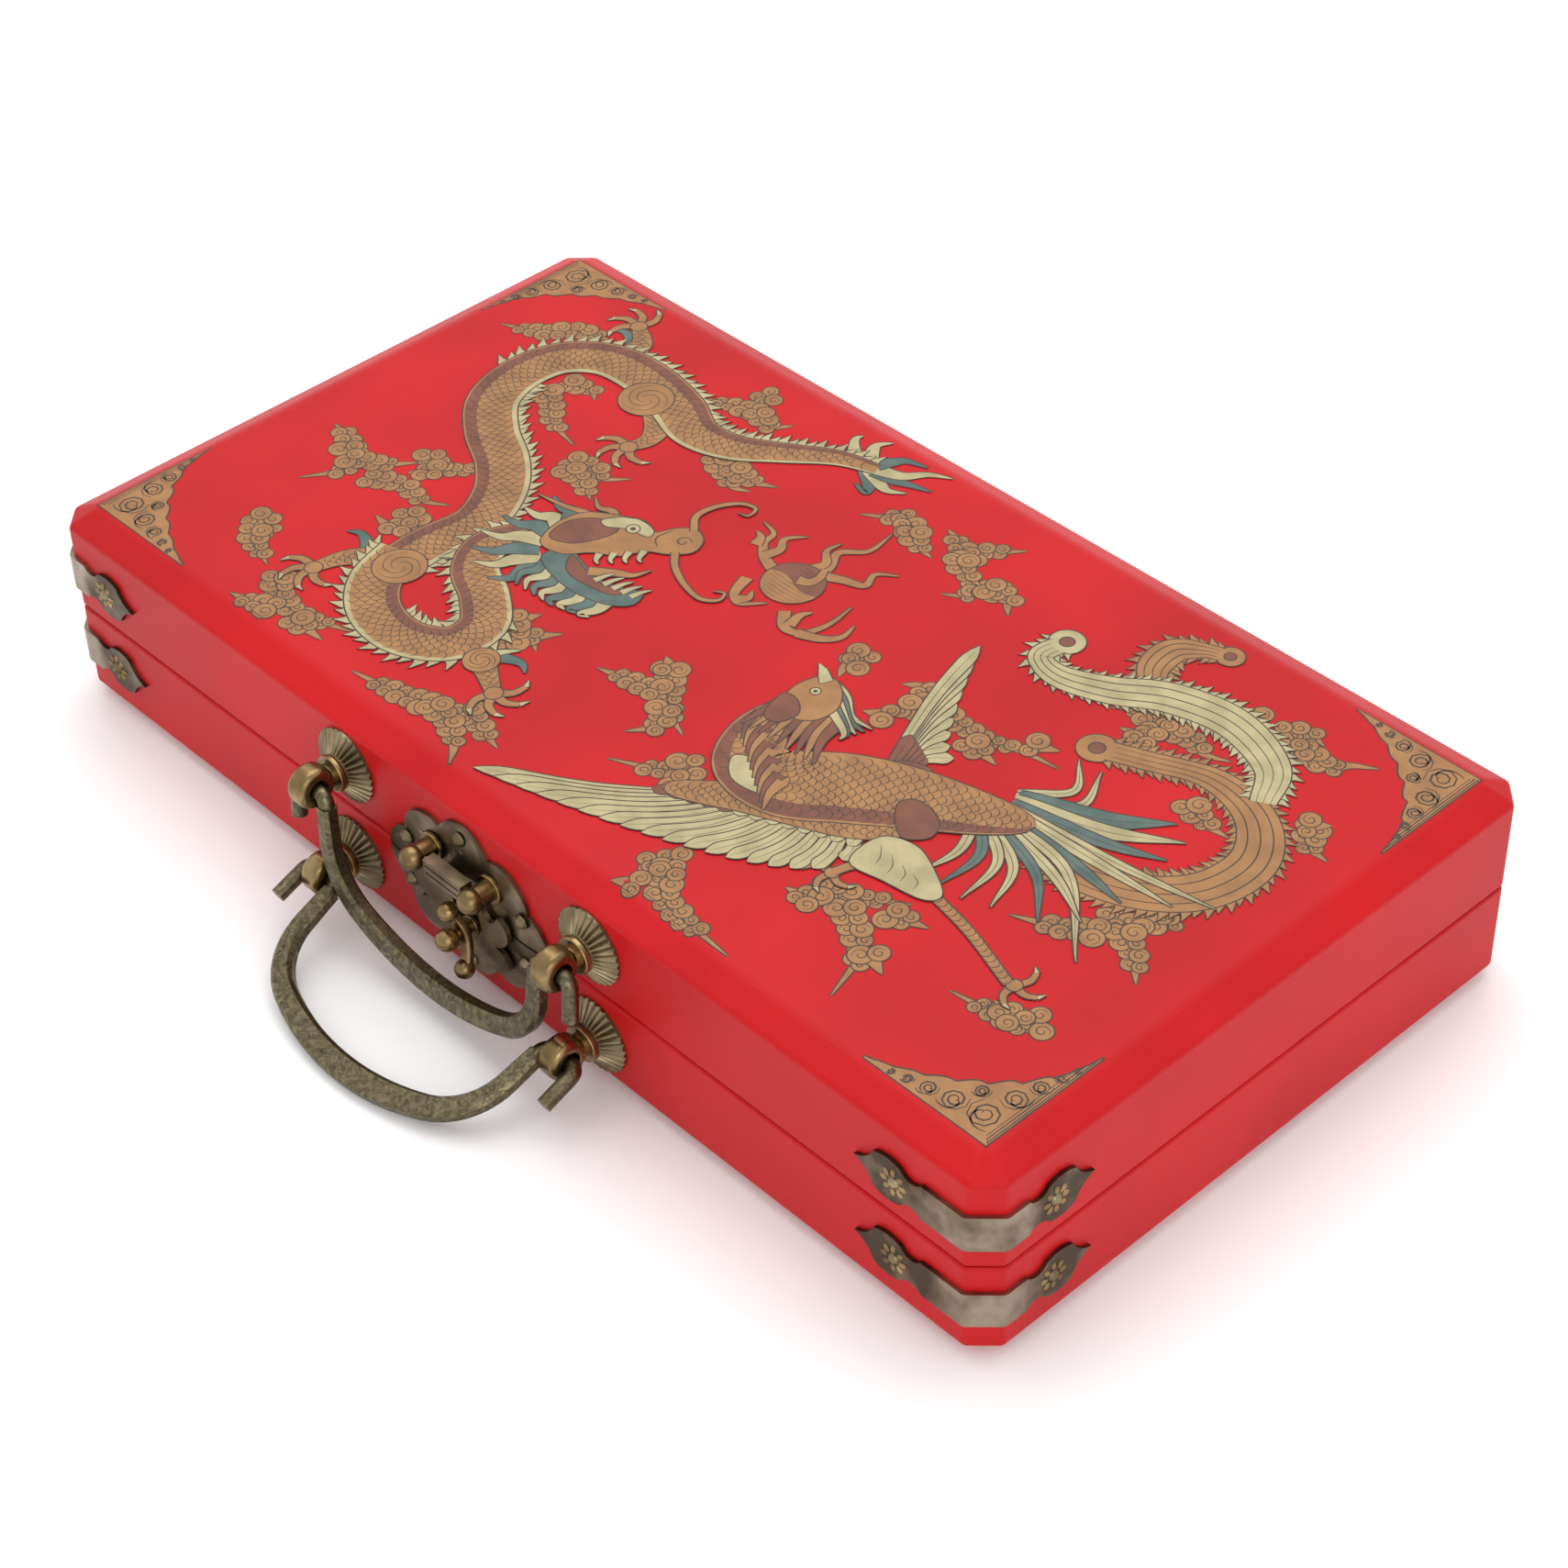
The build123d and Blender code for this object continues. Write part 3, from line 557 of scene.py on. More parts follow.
@dataclass
class Motif:
    """A part of the design, with the strokes that every part draws with; widths in millimetres."""

    sheet: Print
    line: float = 0.26
    fine_line: float = 0.17

    def patch(self, ink: Ink, outline: Outline) -> None:
        """Fill a closed outline."""
        ring = outline if signed_area(outline) > 0 else list(reversed(outline))
        cuts = [tuple(face) for face in tessellate_polygon([[Vector((x, y, 0)) for x, y in ring]])]
        areas = [signed_area([ring[i] for i in face]) for face in cuts]
        self.sheet.lay(ink, ring, [face if area > 0 else tuple(reversed(face))
                                   for face, area in zip(cuts, areas) if abs(area) > 1e-9])
        self.sheet.rise += self.sheet.step

    def strip(self, ink: Ink, path: Outline, width: Width) -> None:
        """Strip along a path whose full width at each share of the path comes from a function."""
        left, right = rails(path, width)
        n = len(left)
        self.sheet.lay(ink, left + right, [(n + i, n + i + 1, i + 1, i) for i in range(n - 1)])

    def ribbon(self, ink: Ink, path: Outline, width: Width) -> None:
        """Strip in its turn of the painter's order."""
        self.strip(ink, path, width)
        self.sheet.rise += self.sheet.step

    def lines(self, paths: Iterable[Outline], width: float = 0.0) -> None:
        """Dark lines, thin at both ends and all at one height."""
        full = width or self.fine_line
        for path in paths:
            self.strip(LINE, path, lambda t: full * (0.35 + 0.65 * sin(pi * t)))
        self.sheet.rise += self.sheet.step

    def edged_ribbon(self, ink: Ink, path: Outline, width: Width) -> None:
        """Ribbon with a dark edge under it."""
        self.ribbon(LINE, path, lambda t: width(t) + 2 * self.line)
        self.ribbon(ink, path, width)

    def edged_patch(self, ink: Ink, outline: Outline) -> None:
        """Filled outline with a dark edge under it."""
        self.patch(LINE, grown(outline, self.line))
        self.patch(ink, outline)

    def path(self, points: Sequence[Point], steps: int = 8, closed: bool = False) -> Outline:
        """Smooth path on the lid through places on the design's sheet."""
        return smooth([self.sheet.on_lid(u, v) for u, v in points], steps, closed)

    def lock(self, points: Sequence[Point], wide: float, ink: Ink) -> Outline:
        """Tapering lock of hair, flame or mist through places on the sheet; returns its middle line."""
        path = self.path(points, 6)
        self.edged_ribbon(ink, path, lambda t: wide * (1 - t) ** 0.8 + 0.1)
        return path


@dataclass
class Clouds(Motif):
    """Curled clouds: arms of round lobes with a curl in each, which end in a thin wisp."""

    lobe: float = 2.05
    lobe_pitch: float = 2.7
    spread: float = 1.5
    wisp: float = 3.2
    lobed: float = 0.72     # share of an arm that carries lobes
    curl: float = 0.72      # size of a curl in its lobe
    curl_turns: float = 1.3
    curl_line: float = 0.24
    # arms of each cloud: places on the sheet from the root to the end of the wisp
    clouds: tuple[tuple[tuple[Point, ...], ...], ...] = (
        (((755, 150), (725, 135), (715, 150), (688, 170)), ((755, 150), (775, 165), (805, 172))),
        (((830, 140), (802, 125), (780, 116)), ((835, 150), (840, 115), (855, 100), (872, 80)),
         ((830, 150), (850, 165), (880, 170))),
        (((900, 165), (872, 180), (880, 195), (858, 214)), ((890, 165), (915, 160), (925, 175), (938, 188))),
        (((745, 520), (770, 545), (800, 570), (836, 585)), ((745, 520), (725, 508)),
         ((760, 555), (720, 565), (686, 574)), ((790, 570), (805, 595), (788, 624))),
        (((150, 150), (175, 140), (205, 132)), ((140, 165), (120, 185), (72, 208))),
        (((440, 70), (435, 95), (455, 110)), ((450, 110), (410, 125), (378, 142)),
         ((455, 110), (485, 120), (505, 98))),
        (((490, 215), (520, 230), (545, 240), (566, 232)), ((520, 215), (555, 215), (582, 203))),
        (((240, 235), (270, 225), (290, 236)), ((230, 265), (265, 285), (290, 305), (345, 318))),
        (((370, 340), (395, 330), (420, 340), (447, 316)), ((380, 355), (410, 360), (444, 376))),
        (((150, 508), (130, 495), (98, 490)), ((150, 510), (185, 520), (180, 550), (158, 586)),
         ((170, 520), (210, 500), (238, 470))),
        (((235, 450), (265, 460), (300, 435), (338, 424)), ((265, 465), (245, 492))),
        (((220, 530), (260, 510), (300, 515), (334, 498)), ((310, 540), (350, 550), (394, 545)),
         ((330, 560), (310, 572), (286, 570))),
        (((185, 670), (205, 665), (232, 680)), ((205, 685), (225, 700), (272, 715))),
        (((300, 720), (330, 740), (370, 745), (410, 735), (460, 714)), ((340, 760), (310, 770), (284, 776)),
         ((380, 755), (430, 756))),
        (((640, 720), (680, 730), (714, 738)), ((600, 745), (560, 755), (498, 766)),
         ((610, 740), (650, 750), (680, 770), (696, 790))),
        (((570, 610), (590, 590), (616, 602)), ((585, 600), (600, 580), (614, 562)), ((560, 580), (570, 556))),
        (((1250, 125), (1238, 137), (1262, 126)), ((1280, 125), (1300, 105), (1326, 110)),
         ((1310, 130), (1350, 135), (1365, 115), (1390, 97)), ((1300, 135), (1336, 152))),
        (((1180, 215), (1150, 210), (1124, 227)), ((1190, 215), (1220, 205), (1245, 215), (1274, 204)),
         ((1190, 235), (1154, 247))),
        (((1400, 225), (1415, 250), (1444, 256)), ((1395, 225), (1412, 208))),
        (((980, 355), (955, 350), (940, 360)), ((970, 385), (1010, 365), (1060, 365), (1110, 350), (1154, 344)),
         ((1110, 335), (1136, 322)), ((1060, 380), (1104, 386)), ((965, 410), (942, 422))),
        (((1370, 450), (1395, 440), (1383, 420)), ((1375, 470), (1345, 470), (1330, 456)),
         ((1370, 480), (1400, 500), (1428, 527)), ((1350, 500), (1320, 520), (1272, 542))),
        (((1110, 650), (1150, 630), (1194, 600)), ((1150, 650), (1185, 670), (1210, 690), (1230, 748)),
         ((1120, 665), (1086, 672)), ((1190, 625), (1230, 613)), ((1215, 680), (1244, 692))),
        (((870, 610), (885, 620), (860, 640), (808, 666)), ((885, 640), (908, 628))),
        (((980, 720), (960, 745), (975, 772)), ((985, 740), (1005, 765), (1040, 775), (1118, 781)),
         ((975, 775), (952, 788))),
        (((1385, 630), (1400, 640), (1370, 650), (1345, 655), (1306, 661)), ((1380, 645), (1346, 640))),
        (((866, 362), (880, 356), (892, 368)), ((878, 372), (876, 385), (882, 400))),
        (((1290, 290), (1320, 300), (1350, 300)),))

    def draw(self) -> None:
        """Every cloud; neighbours lie half a step apart."""
        for number, arms in enumerate(self.clouds):
            self.sheet.rise = self.sheet.lowest + 0.5 * self.sheet.step * (number % 2)
            for arm in arms:
                self.lobes(self.lock(arm, self.wisp, OCHRE), number)

    def lobes(self, path: Outline, number: int) -> None:
        """Pairs of lobes with a curl in each, from the far end of an arm to its root."""
        even = spaced(path, self.lobe_pitch)
        seats = even[:max(1, round(self.lobed * len(even)))]
        turn = headings(even) if len(even) > 1 else [(1.0, 0.0)]
        for k in reversed(range(len(seats))):
            share = k / len(even)
            for side in (-1, 1):
                radius = self.lobe * (1 - 0.5 * share) * (0.9 + 0.16 * sin(2.4 * k + number + side))
                away = side * self.spread * (1 - 0.75 * share)
                (x, y), (dx, dy) = seats[k], turn[k]
                spot = (x - dy * away + 0.4 * side * dx, y + dx * away + 0.4 * side * dy)
                self.edged_patch(OCHRE, disc(spot, radius))
                start = atan2(dy, dx) + side * pi / 2
                self.lines([spiral(spot, self.curl * radius, start, self.curl_turns, side)], self.curl_line)


@dataclass
class Corners(Motif):
    """Triangular scroll ornaments in the four corners."""

    edge_x: float = 118.6
    edge_y: float = 61.2
    leg: float = 27.0
    scallops: int = 7
    puff: float = 1.7
    hollow: float = 1.25
    fullness: float = 0.98
    tip: float = 0.2
    rows: int = 54
    columns: int = 8
    near: tuple[float, ...] = (0.5, 1.0, 1.5, 2.0)      # columns that keep to the bend of the lid's edge
    curls: tuple[Corner, ...] = (       # place along both legs and radius
        (4.7, 4.7, 3.2), (10.3, 3.6, 2.5), (3.6, 10.3, 2.5), (14.9, 2.5, 1.8), (2.5, 14.9, 1.8),
        (8.4, 8.0, 1.5), (18.6, 1.6, 1.1), (1.6, 18.6, 1.1), (21.6, 0.9, 0.7), (0.9, 21.6, 0.7))

    def draw(self) -> None:
        """All four."""
        for sx in (-1, 1):
            for sy in (-1, 1):
                self.sheet.rise = self.sheet.lowest
                self.corner(sx, sy)

    def depth(self, a: float) -> float:
        """How far the ornament reaches in at a distance along its leg: hollow, with scallops."""
        t = min(1.0, a / self.leg)
        scallop = self.puff * abs(sin(pi * self.scallops * t ** 0.75)) * (1 - t)
        return self.leg * (1 - sqrt(t)) ** self.hollow * self.fullness + scallop + self.tip

    def sheet_fill(self, ink: Ink, sx: int, sy: int, grow: float) -> None:
        """Fill in rows that bend with the lid's edge."""
        corners: Outline = []
        for row in range(self.rows + 1):
            a = (self.leg + 2 * grow) * row / self.rows - grow
            deep = self.depth(max(0.0, a - grow)) + grow
            inner = [b for b in (-grow, *self.near) if b < deep - 0.1]
            left = self.columns - len(inner)
            stations = inner + [inner[-1] + (deep - inner[-1]) * k / left for k in range(1, left + 1)]
            corners += [(sx * (self.edge_x - a), sy * (self.edge_y - b)) for b in stations]
        wide = self.columns
        faces = [(r * wide + c, r * wide + c + 1, (r + 1) * wide + c + 1, (r + 1) * wide + c)
                 for r in range(self.rows) for c in range(wide - 1)]
        if signed_area([corners[i] for i in faces[0]]) < 0:
            faces = [tuple(reversed(face)) for face in faces]
        self.sheet.lay(ink, corners, faces)
        self.sheet.rise += self.sheet.step

    def corner(self, sx: int, sy: int) -> None:
        """One ornament with its curls."""
        self.sheet_fill(LINE, sx, sy, self.line)
        self.sheet_fill(OCHRE, sx, sy, 0.0)
        drawn: list[Outline] = []
        for a, b, radius in self.curls:
            spot = (sx * (self.edge_x - a), sy * (self.edge_y - b))
            lean = atan2(sy * (b - a), sx * (a - b)) if a != b else atan2(-sy, -sx)
            hand = sx * sy * (1 if a > b else -1)
            drawn += [spiral(spot, radius, lean, 2.2, hand), spiral(spot, radius * 1.2, lean + pi, 0.45, -hand)]
        self.lines(drawn, 0.42)


@dataclass
class Pearl(Motif):
    """Flaming pearl between the two animals."""

    centre: Point = (728, 320)
    radius: float = 6.1
    tongues: tuple[tuple[Point, ...], ...] = (
        ((738, 300), (736, 270), (724, 242), (746, 215), (742, 172)),
        ((745, 285), (765, 275), (788, 265), (782, 242), (803, 224)),
        ((722, 290), (728, 268), (712, 250), (714, 228)),
        ((692, 318), (668, 308), (650, 290), (645, 270), (620, 262)),
        ((668, 306), (672, 286), (662, 268), (678, 246)),
        ((646, 300), (640, 286), (628, 280)),
        ((684, 350), (694, 378), (712, 388), (734, 366)),
        ((706, 384), (712, 374), (706, 362)),
        ((758, 362), (778, 382), (800, 376), (810, 344), (806, 304)),
        ((780, 376), (776, 356), (782, 342)),
        ((796, 380), (822, 368), (836, 350), (832, 326)))

    def draw(self) -> None:
        """Flames first, then the pearl with its hatching."""
        for tongue in self.tongues:
            self.edged_ribbon(OCHRE, self.path(tongue), lambda t: 2.2 * (1 - t) ** 0.7 + 0.12)
        x, y = self.sheet.on_lid(*self.centre)
        self.edged_patch(OCHRE, disc((x, y), self.radius, 40))
        cap = [(x + self.radius * cos(pi * k / 24), y + self.radius * sin(pi * k / 24)) for k in range(25)]
        cap += [(x + self.radius * (k / 6 - 1), y + 0.9 * sin(pi * k / 6)) for k in range(1, 12)]
        self.patch(RUSSET, cap)
        hatching: list[Outline] = []
        for k in range(-5, 6):
            drop = 1.0 * k
            reach = sqrt(self.radius ** 2 - drop * drop) * 0.92
            hatching.append([(x - reach, y + drop), (x, y + drop - 0.3), (x + reach, y + drop)])
        self.lines(hatching, 0.12)
        self.edged_ribbon(OCHRE, self.path(((728, 312), (740, 306), (742, 292), (736, 276))),
                                lambda t: 2.4 * (1 - 0.5 * t))


@dataclass
class Creature(Motif):
    """What dragon and phoenix share: scaled bodies, serrated edges, feathers, claws and eyes."""

    blunt_end: Point = (0.18, 4.5556)   # share of a feather that rounds off, and where it starts in such shares

    def scales(self, path: Outline, width: Width, pitch: float, reach: tuple[float, float] = (-0.5, 0.5)) -> None:
        """Rows of scale arcs over a strip.

        Args:
            path: the strip's middle line.
            width: its full width at each share of the path.
            pitch: millimetres from scale to scale.
            reach: part of the width that the scales cover, from -0.5 at the right to 0.5 at the left.
        """
        even = spaced(path, pitch * 0.5)
        turn = headings(even)
        arcs: list[Outline] = []
        for row in range(1, len(even) - 1):
            wide = width(row / (len(even) - 1))
            low, high = reach[0] * wide, reach[1] * wide
            count = max(1, round((high - low) / pitch))
            step = (high - low) / count
            for k in range(count):
                across = low + (k + 0.5 + (0.5 if row % 2 else 0.0)) * step
                if across > high - 0.1 * step:
                    continue
                (x, y), (dx, dy) = even[row], turn[row]
                cx, cy = x - dy * across, y + dx * across
                arc: Outline = []
                for j in range(7):
                    along, side = 0.52 * pitch * sin(pi * j / 6), 0.5 * step * cos(pi * j / 6)
                    arc.append((cx + dx * along - dy * side, cy + dy * along + dx * side))
                arcs.append(arc)
        self.lines(arcs, 0.2)

    def fins(self, path: Outline, width: Width, side: int, size: float, ink: Ink,
             span: tuple[float, float] = (0.0, 1.0)) -> None:
        """Serrated fins along one side of a strip.

        Args:
            path: the strip's middle line.
            width: its full width at each share of the path.
            side: 1 for the left side and -1 for the right.
            size: height of a fin in millimetres.
            ink: its ink.
            span: the share of the path that has fins.
        """
        even = spaced(path, size * 0.8)
        turn = headings(even)
        start = self.sheet.rise
        for i in range(1, len(even) - 1):
            share = i / (len(even) - 1)
            if not span[0] <= share <= span[1]:
                continue
            (x, y), (dx, dy) = even[i], turn[i]
            nx, ny = -dy * side, dx * side
            half = width(share) / 2 - 0.5
            base = (x + nx * half, y + ny * half)
            reach = size * (0.85 + 0.3 * (i % 2))
            fin = [(base[0] + dx * size * a + nx * reach * b, base[1] + dy * size * a + ny * reach * b)
                   for a, b in ((-0.55, 0.0), (0.55, 0.0), (0.3, 0.5), (-0.15, 0.85), (-0.6, 1.25), (-0.45, 0.55))]
            self.sheet.rise = start + 2 * self.sheet.step * (i % 4)
            self.edged_patch(ink, fin)
        self.sheet.rise = start + 8 * self.sheet.step

    def claw(self, u: float, v: float, aim: float, size: float, toes: int = 4) -> None:
        """Foot with bent toes and pale talons; aim is in degrees on the lid."""
        x, y = self.sheet.on_lid(u, v)
        for k in range(toes):
            a = radians(aim + 150 * (k / (toes - 1) - 0.5))
            b = a + radians(38)
            knuckle = (x + 0.62 * size * cos(a), y + 0.62 * size * sin(a))
            tip = (knuckle[0] + 0.5 * size * cos(b), knuckle[1] + 0.5 * size * sin(b))
            end = (tip[0] + 0.34 * size * cos(b + 0.7), tip[1] + 0.34 * size * sin(b + 0.7))
            middle = ((tip[0] + end[0]) / 2, (tip[1] + end[1]) / 2)
            self.edged_ribbon(CREAM, smooth([tip, middle, end], 3), lambda t: 0.18 * size * (1 - t) + 0.05)
            self.edged_ribbon(OCHRE, smooth([(x, y), knuckle, tip], 5),
                                    lambda t: 0.32 * size * (1 - 0.4 * t))
        self.edged_patch(OCHRE, disc((x, y), 0.3 * size))

    def feather(self, points: Sequence[Point], wide: float, ink: Ink, blunt: bool = True) -> None:
        """Feather with a shaft through places on the sheet; blunt feathers end round and others in a point."""
        path = self.path(points, 9)
        if blunt:
            end, start = self.blunt_end
            self.edged_ribbon(ink, path, lambda t: wide * (0.45 + 0.55 * t) * (1 - max(0.0, t / end - start) ** 2))
        else:
            self.edged_ribbon(ink, path, lambda t: wide * sin(pi * (0.25 + 0.75 * t)) + 0.06)
        self.lines([path[:-1]], 0.13)

    def eye(self, place: Point, radius: float, pupil: float) -> None:
        """Pale eye with a dark pupil; both radii in millimetres."""
        spot = self.sheet.on_lid(*place)
        self.edged_patch(CREAM, disc(spot, radius))
        self.patch(LINE, disc(spot, pupil))

    def form(self, points: Sequence[Point], ink: Ink) -> None:
        """Closed soft form through places on the sheet."""
        self.edged_patch(ink, self.path(points, 5, True))


@dataclass
class Dragon(Creature):
    """Scaled dragon that winds over the left half and faces the pearl."""

    spine: tuple[Point, ...] = (
        (640, 90), (590, 108), (535, 150), (485, 185), (430, 195), (370, 172), (300, 158), (235, 165), (190, 205),
        (180, 265), (200, 325), (250, 368), (310, 400), (355, 440), (382, 495), (376, 560), (380, 620))
    loop: tuple[Point, ...] = (
        (366, 590), (385, 645), (430, 682), (490, 690), (538, 662), (540, 615), (500, 580), (452, 555), (428, 515),
        (448, 470))

    def tail_girth(self, t: float) -> float:
        """Width of the body from the tail on."""
        return 3.0 + 8.4 * min(1.0, t / 0.3) * (1 - 0.12 * t)

    def neck_girth(self, t: float) -> float:
        """Width of the loop that carries the neck."""
        return 10.6 - 2.0 * t

    def draw(self) -> None:
        """Tail tuft, legs, body, neck loop and head."""
        self.tuft()
        self.legs(((((262, 165), (245, 130), (236, 106)), (206, 84), 150),
                   (((345, 180), (385, 215), (402, 245)), (396, 274), 250)))
        self.trunk(self.spine, self.tail_girth, ((-1, (0.0, 0.56)), (1, (0.56, 1.0))), 1)
        self.haunch((335, 190), 5.6)
        self.legs(((((390, 620), (345, 628), (325, 650)), (316, 682), 250),
                   (((540, 650), (580, 652), (606, 664)), (640, 682), 330)))
        self.trunk(self.loop, self.neck_girth, ((-1, (0.0, 0.62)), (1, (0.3, 1.0))), -1)
        self.haunch((386, 612), 5.2)
        self.haunch((586, 655), 3.4)
        self.head()

    def trunk(self, points: tuple[Point, ...], girth: Width, finned: tuple[tuple[int, Point], ...],
              belly: int) -> None:
        """Scaled body with fins, a shaded side and a pale belly line.

        Args:
            points: middle line on the sheet.
            girth: full width at each share of it.
            finned: the side and span of each row of fins.
            belly: 1 when the belly is on the left and -1 when it is on the right.
        """
        path = self.path(points, 12)
        for side, span in finned:
            self.fins(path, girth, side, 2.3, CREAM, span)
        self.edged_ribbon(OCHRE, path, girth)
        shade = rails(path, lambda t: 0.72 * girth(t))[1 if belly > 0 else 0]
        self.ribbon(RUSSET, shade, lambda t: 0.22 * girth(t))
        pale = rails(path, lambda t: 0.9 * girth(t))[0 if belly > 0 else 1]
        self.ribbon(CREAM, pale, lambda t: 0.09 * girth(t))
        self.scales(path, girth, 2.2, (-0.44, 0.40))

    def haunch(self, spot: Point, radius: float) -> None:
        """Round muscle where a leg joins, with curls in it."""
        x, y = self.sheet.on_lid(*spot)
        self.edged_patch(OCHRE, disc((x, y), radius, 28))
        self.lines([spiral((x, y), 0.86 * radius, k * 2.1, 0.8) for k in range(3)], 0.2)

    def tuft(self) -> None:
        """Hair at the end of the tail."""
        for points, ink in (
                (((632, 100), (655, 120), (662, 134), (640, 130)), TEAL),
                (((636, 98), (665, 110), (680, 112), (698, 100)), CREAM),
                (((640, 95), (668, 92), (690, 84), (716, 76)), TEAL),
                (((640, 90), (670, 78), (690, 52), (716, 36)), CREAM),
                (((634, 84), (644, 62), (654, 50), (680, 42)), TEAL),
                (((622, 84), (608, 62), (606, 50), (616, 34)), CREAM),
                (((610, 92), (592, 80), (578, 62), (580, 50)), CREAM)):
            self.lock(points, 3.2, ink)

    def legs(self, pairs: Sequence[tuple[tuple[Point, ...], Point, float]]) -> None:
        """Legs with a scaled shank, an elbow tuft and a clawed foot."""
        for points, foot, aim in pairs:
            elbow = points[1]
            away = 1 if foot[0] >= elbow[0] else -1
            self.lock((elbow, (elbow[0] + 20 * away, elbow[1] - 16), (elbow[0] + 42 * away, elbow[1] - 24),
                       (elbow[0] + 58 * away, elbow[1] - 16)), 3.2, TEAL)
            self.lock((elbow, (elbow[0] + 12 * away, elbow[1] - 22),
                       (elbow[0] + 24 * away, elbow[1] - 38)), 2.2, CREAM)
            path = self.path(points + (foot,), 8)
            self.edged_ribbon(OCHRE, path, lambda t: 7.0 - 4.4 * t)
            self.scales(path, lambda t: 6.4 - 4.2 * t, 1.8)
            self.claw(foot[0], foot[1], aim, 5.6)

    def head(self) -> None:
        """Mane, horns, skull, jaws, teeth, beard and whiskers."""
        for number, points in enumerate((
                ((500, 488), (492, 515), (494, 538), (474, 556)), ((486, 486), (470, 514), (462, 534), (438, 548)),
                ((474, 478), (452, 502), (440, 520), (414, 532)), ((466, 464), (440, 480), (425, 496), (398, 504)),
                ((462, 450), (438, 454), (420, 466), (394, 468)), ((464, 436), (440, 430), (424, 440), (400, 440)),
                ((466, 424), (446, 408), (430, 410), (408, 402)))):
            self.lock(points, 4.2, (TEAL, CREAM)[number % 2])
        for points in (((512, 402), (470, 396), (432, 406), (392, 412)),
                       ((500, 388), (482, 374), (464, 380), (446, 370))):
            self.lock(points, 2.0, OCHRE)
        for k in range(8):
            u, v = 500 + 15 * k, 494 - 2.2 * abs(k - 4)
            self.lock(((u, v), (u + 4, v + 20), (u - 4, v + 38), (u + 8, v + 56 - 3 * k)),
                      3.0, (TEAL, CREAM)[k % 2])
        self.form(((496, 456), (530, 462), (566, 470), (600, 462), (622, 452), (630, 474), (608, 494), (566, 504),
                   (520, 500), (488, 486)), TEAL)
        self.form(((512, 462), (540, 468), (570, 474), (604, 466), (600, 478), (566, 486), (530, 484)), RUSSET)
        self.lock(((548, 468), (574, 448), (590, 438), (598, 418)), 2.4, OCHRE)
        for k in range(5):
            self.lock(((566 + 13 * k, 474 - 2 * k), (569 + 13 * k, 460 - 2 * k),
                       (574 + 13 * k, 450 - 2 * k)), 1.3, CREAM)
        self.form(((452, 432), (460, 398), (490, 376), (520, 364), (546, 368), (558, 346), (576, 330), (598, 338),
                   (606, 362), (588, 384), (566, 398), (552, 424), (524, 442), (500, 468), (466, 470)), OCHRE)
        self.form(((458, 430), (470, 404), (496, 388), (514, 396), (508, 424), (492, 448), (466, 456)), RUSSET)
        self.form(((486, 392), (508, 366), (540, 364), (548, 378), (520, 384), (498, 398)), CREAM)
        for k in range(4):
            self.lock(((532 + 11 * k, 438 - 13 * k), (538 + 11 * k, 448 - 12 * k),
                       (546 + 11 * k, 452 - 12 * k)), 1.3, CREAM)
        self.eye((524, 380), 1.25, 0.55)
        self.lines([spiral(self.sheet.on_lid(584, 356), 1.7, 0.5, 1.2),
                          self.path(((560, 348), (556, 372), (570, 384))),
                          self.path(((500, 372), (522, 360), (546, 366)))], 0.3)
        for points in (((578, 334), (558, 312), (560, 284), (576, 258), (596, 252), (600, 268), (588, 272)),
                       ((592, 376), (612, 394), (642, 408), (674, 414), (692, 402), (688, 388), (676, 394))):
            self.lock(points, 1.3, OCHRE)


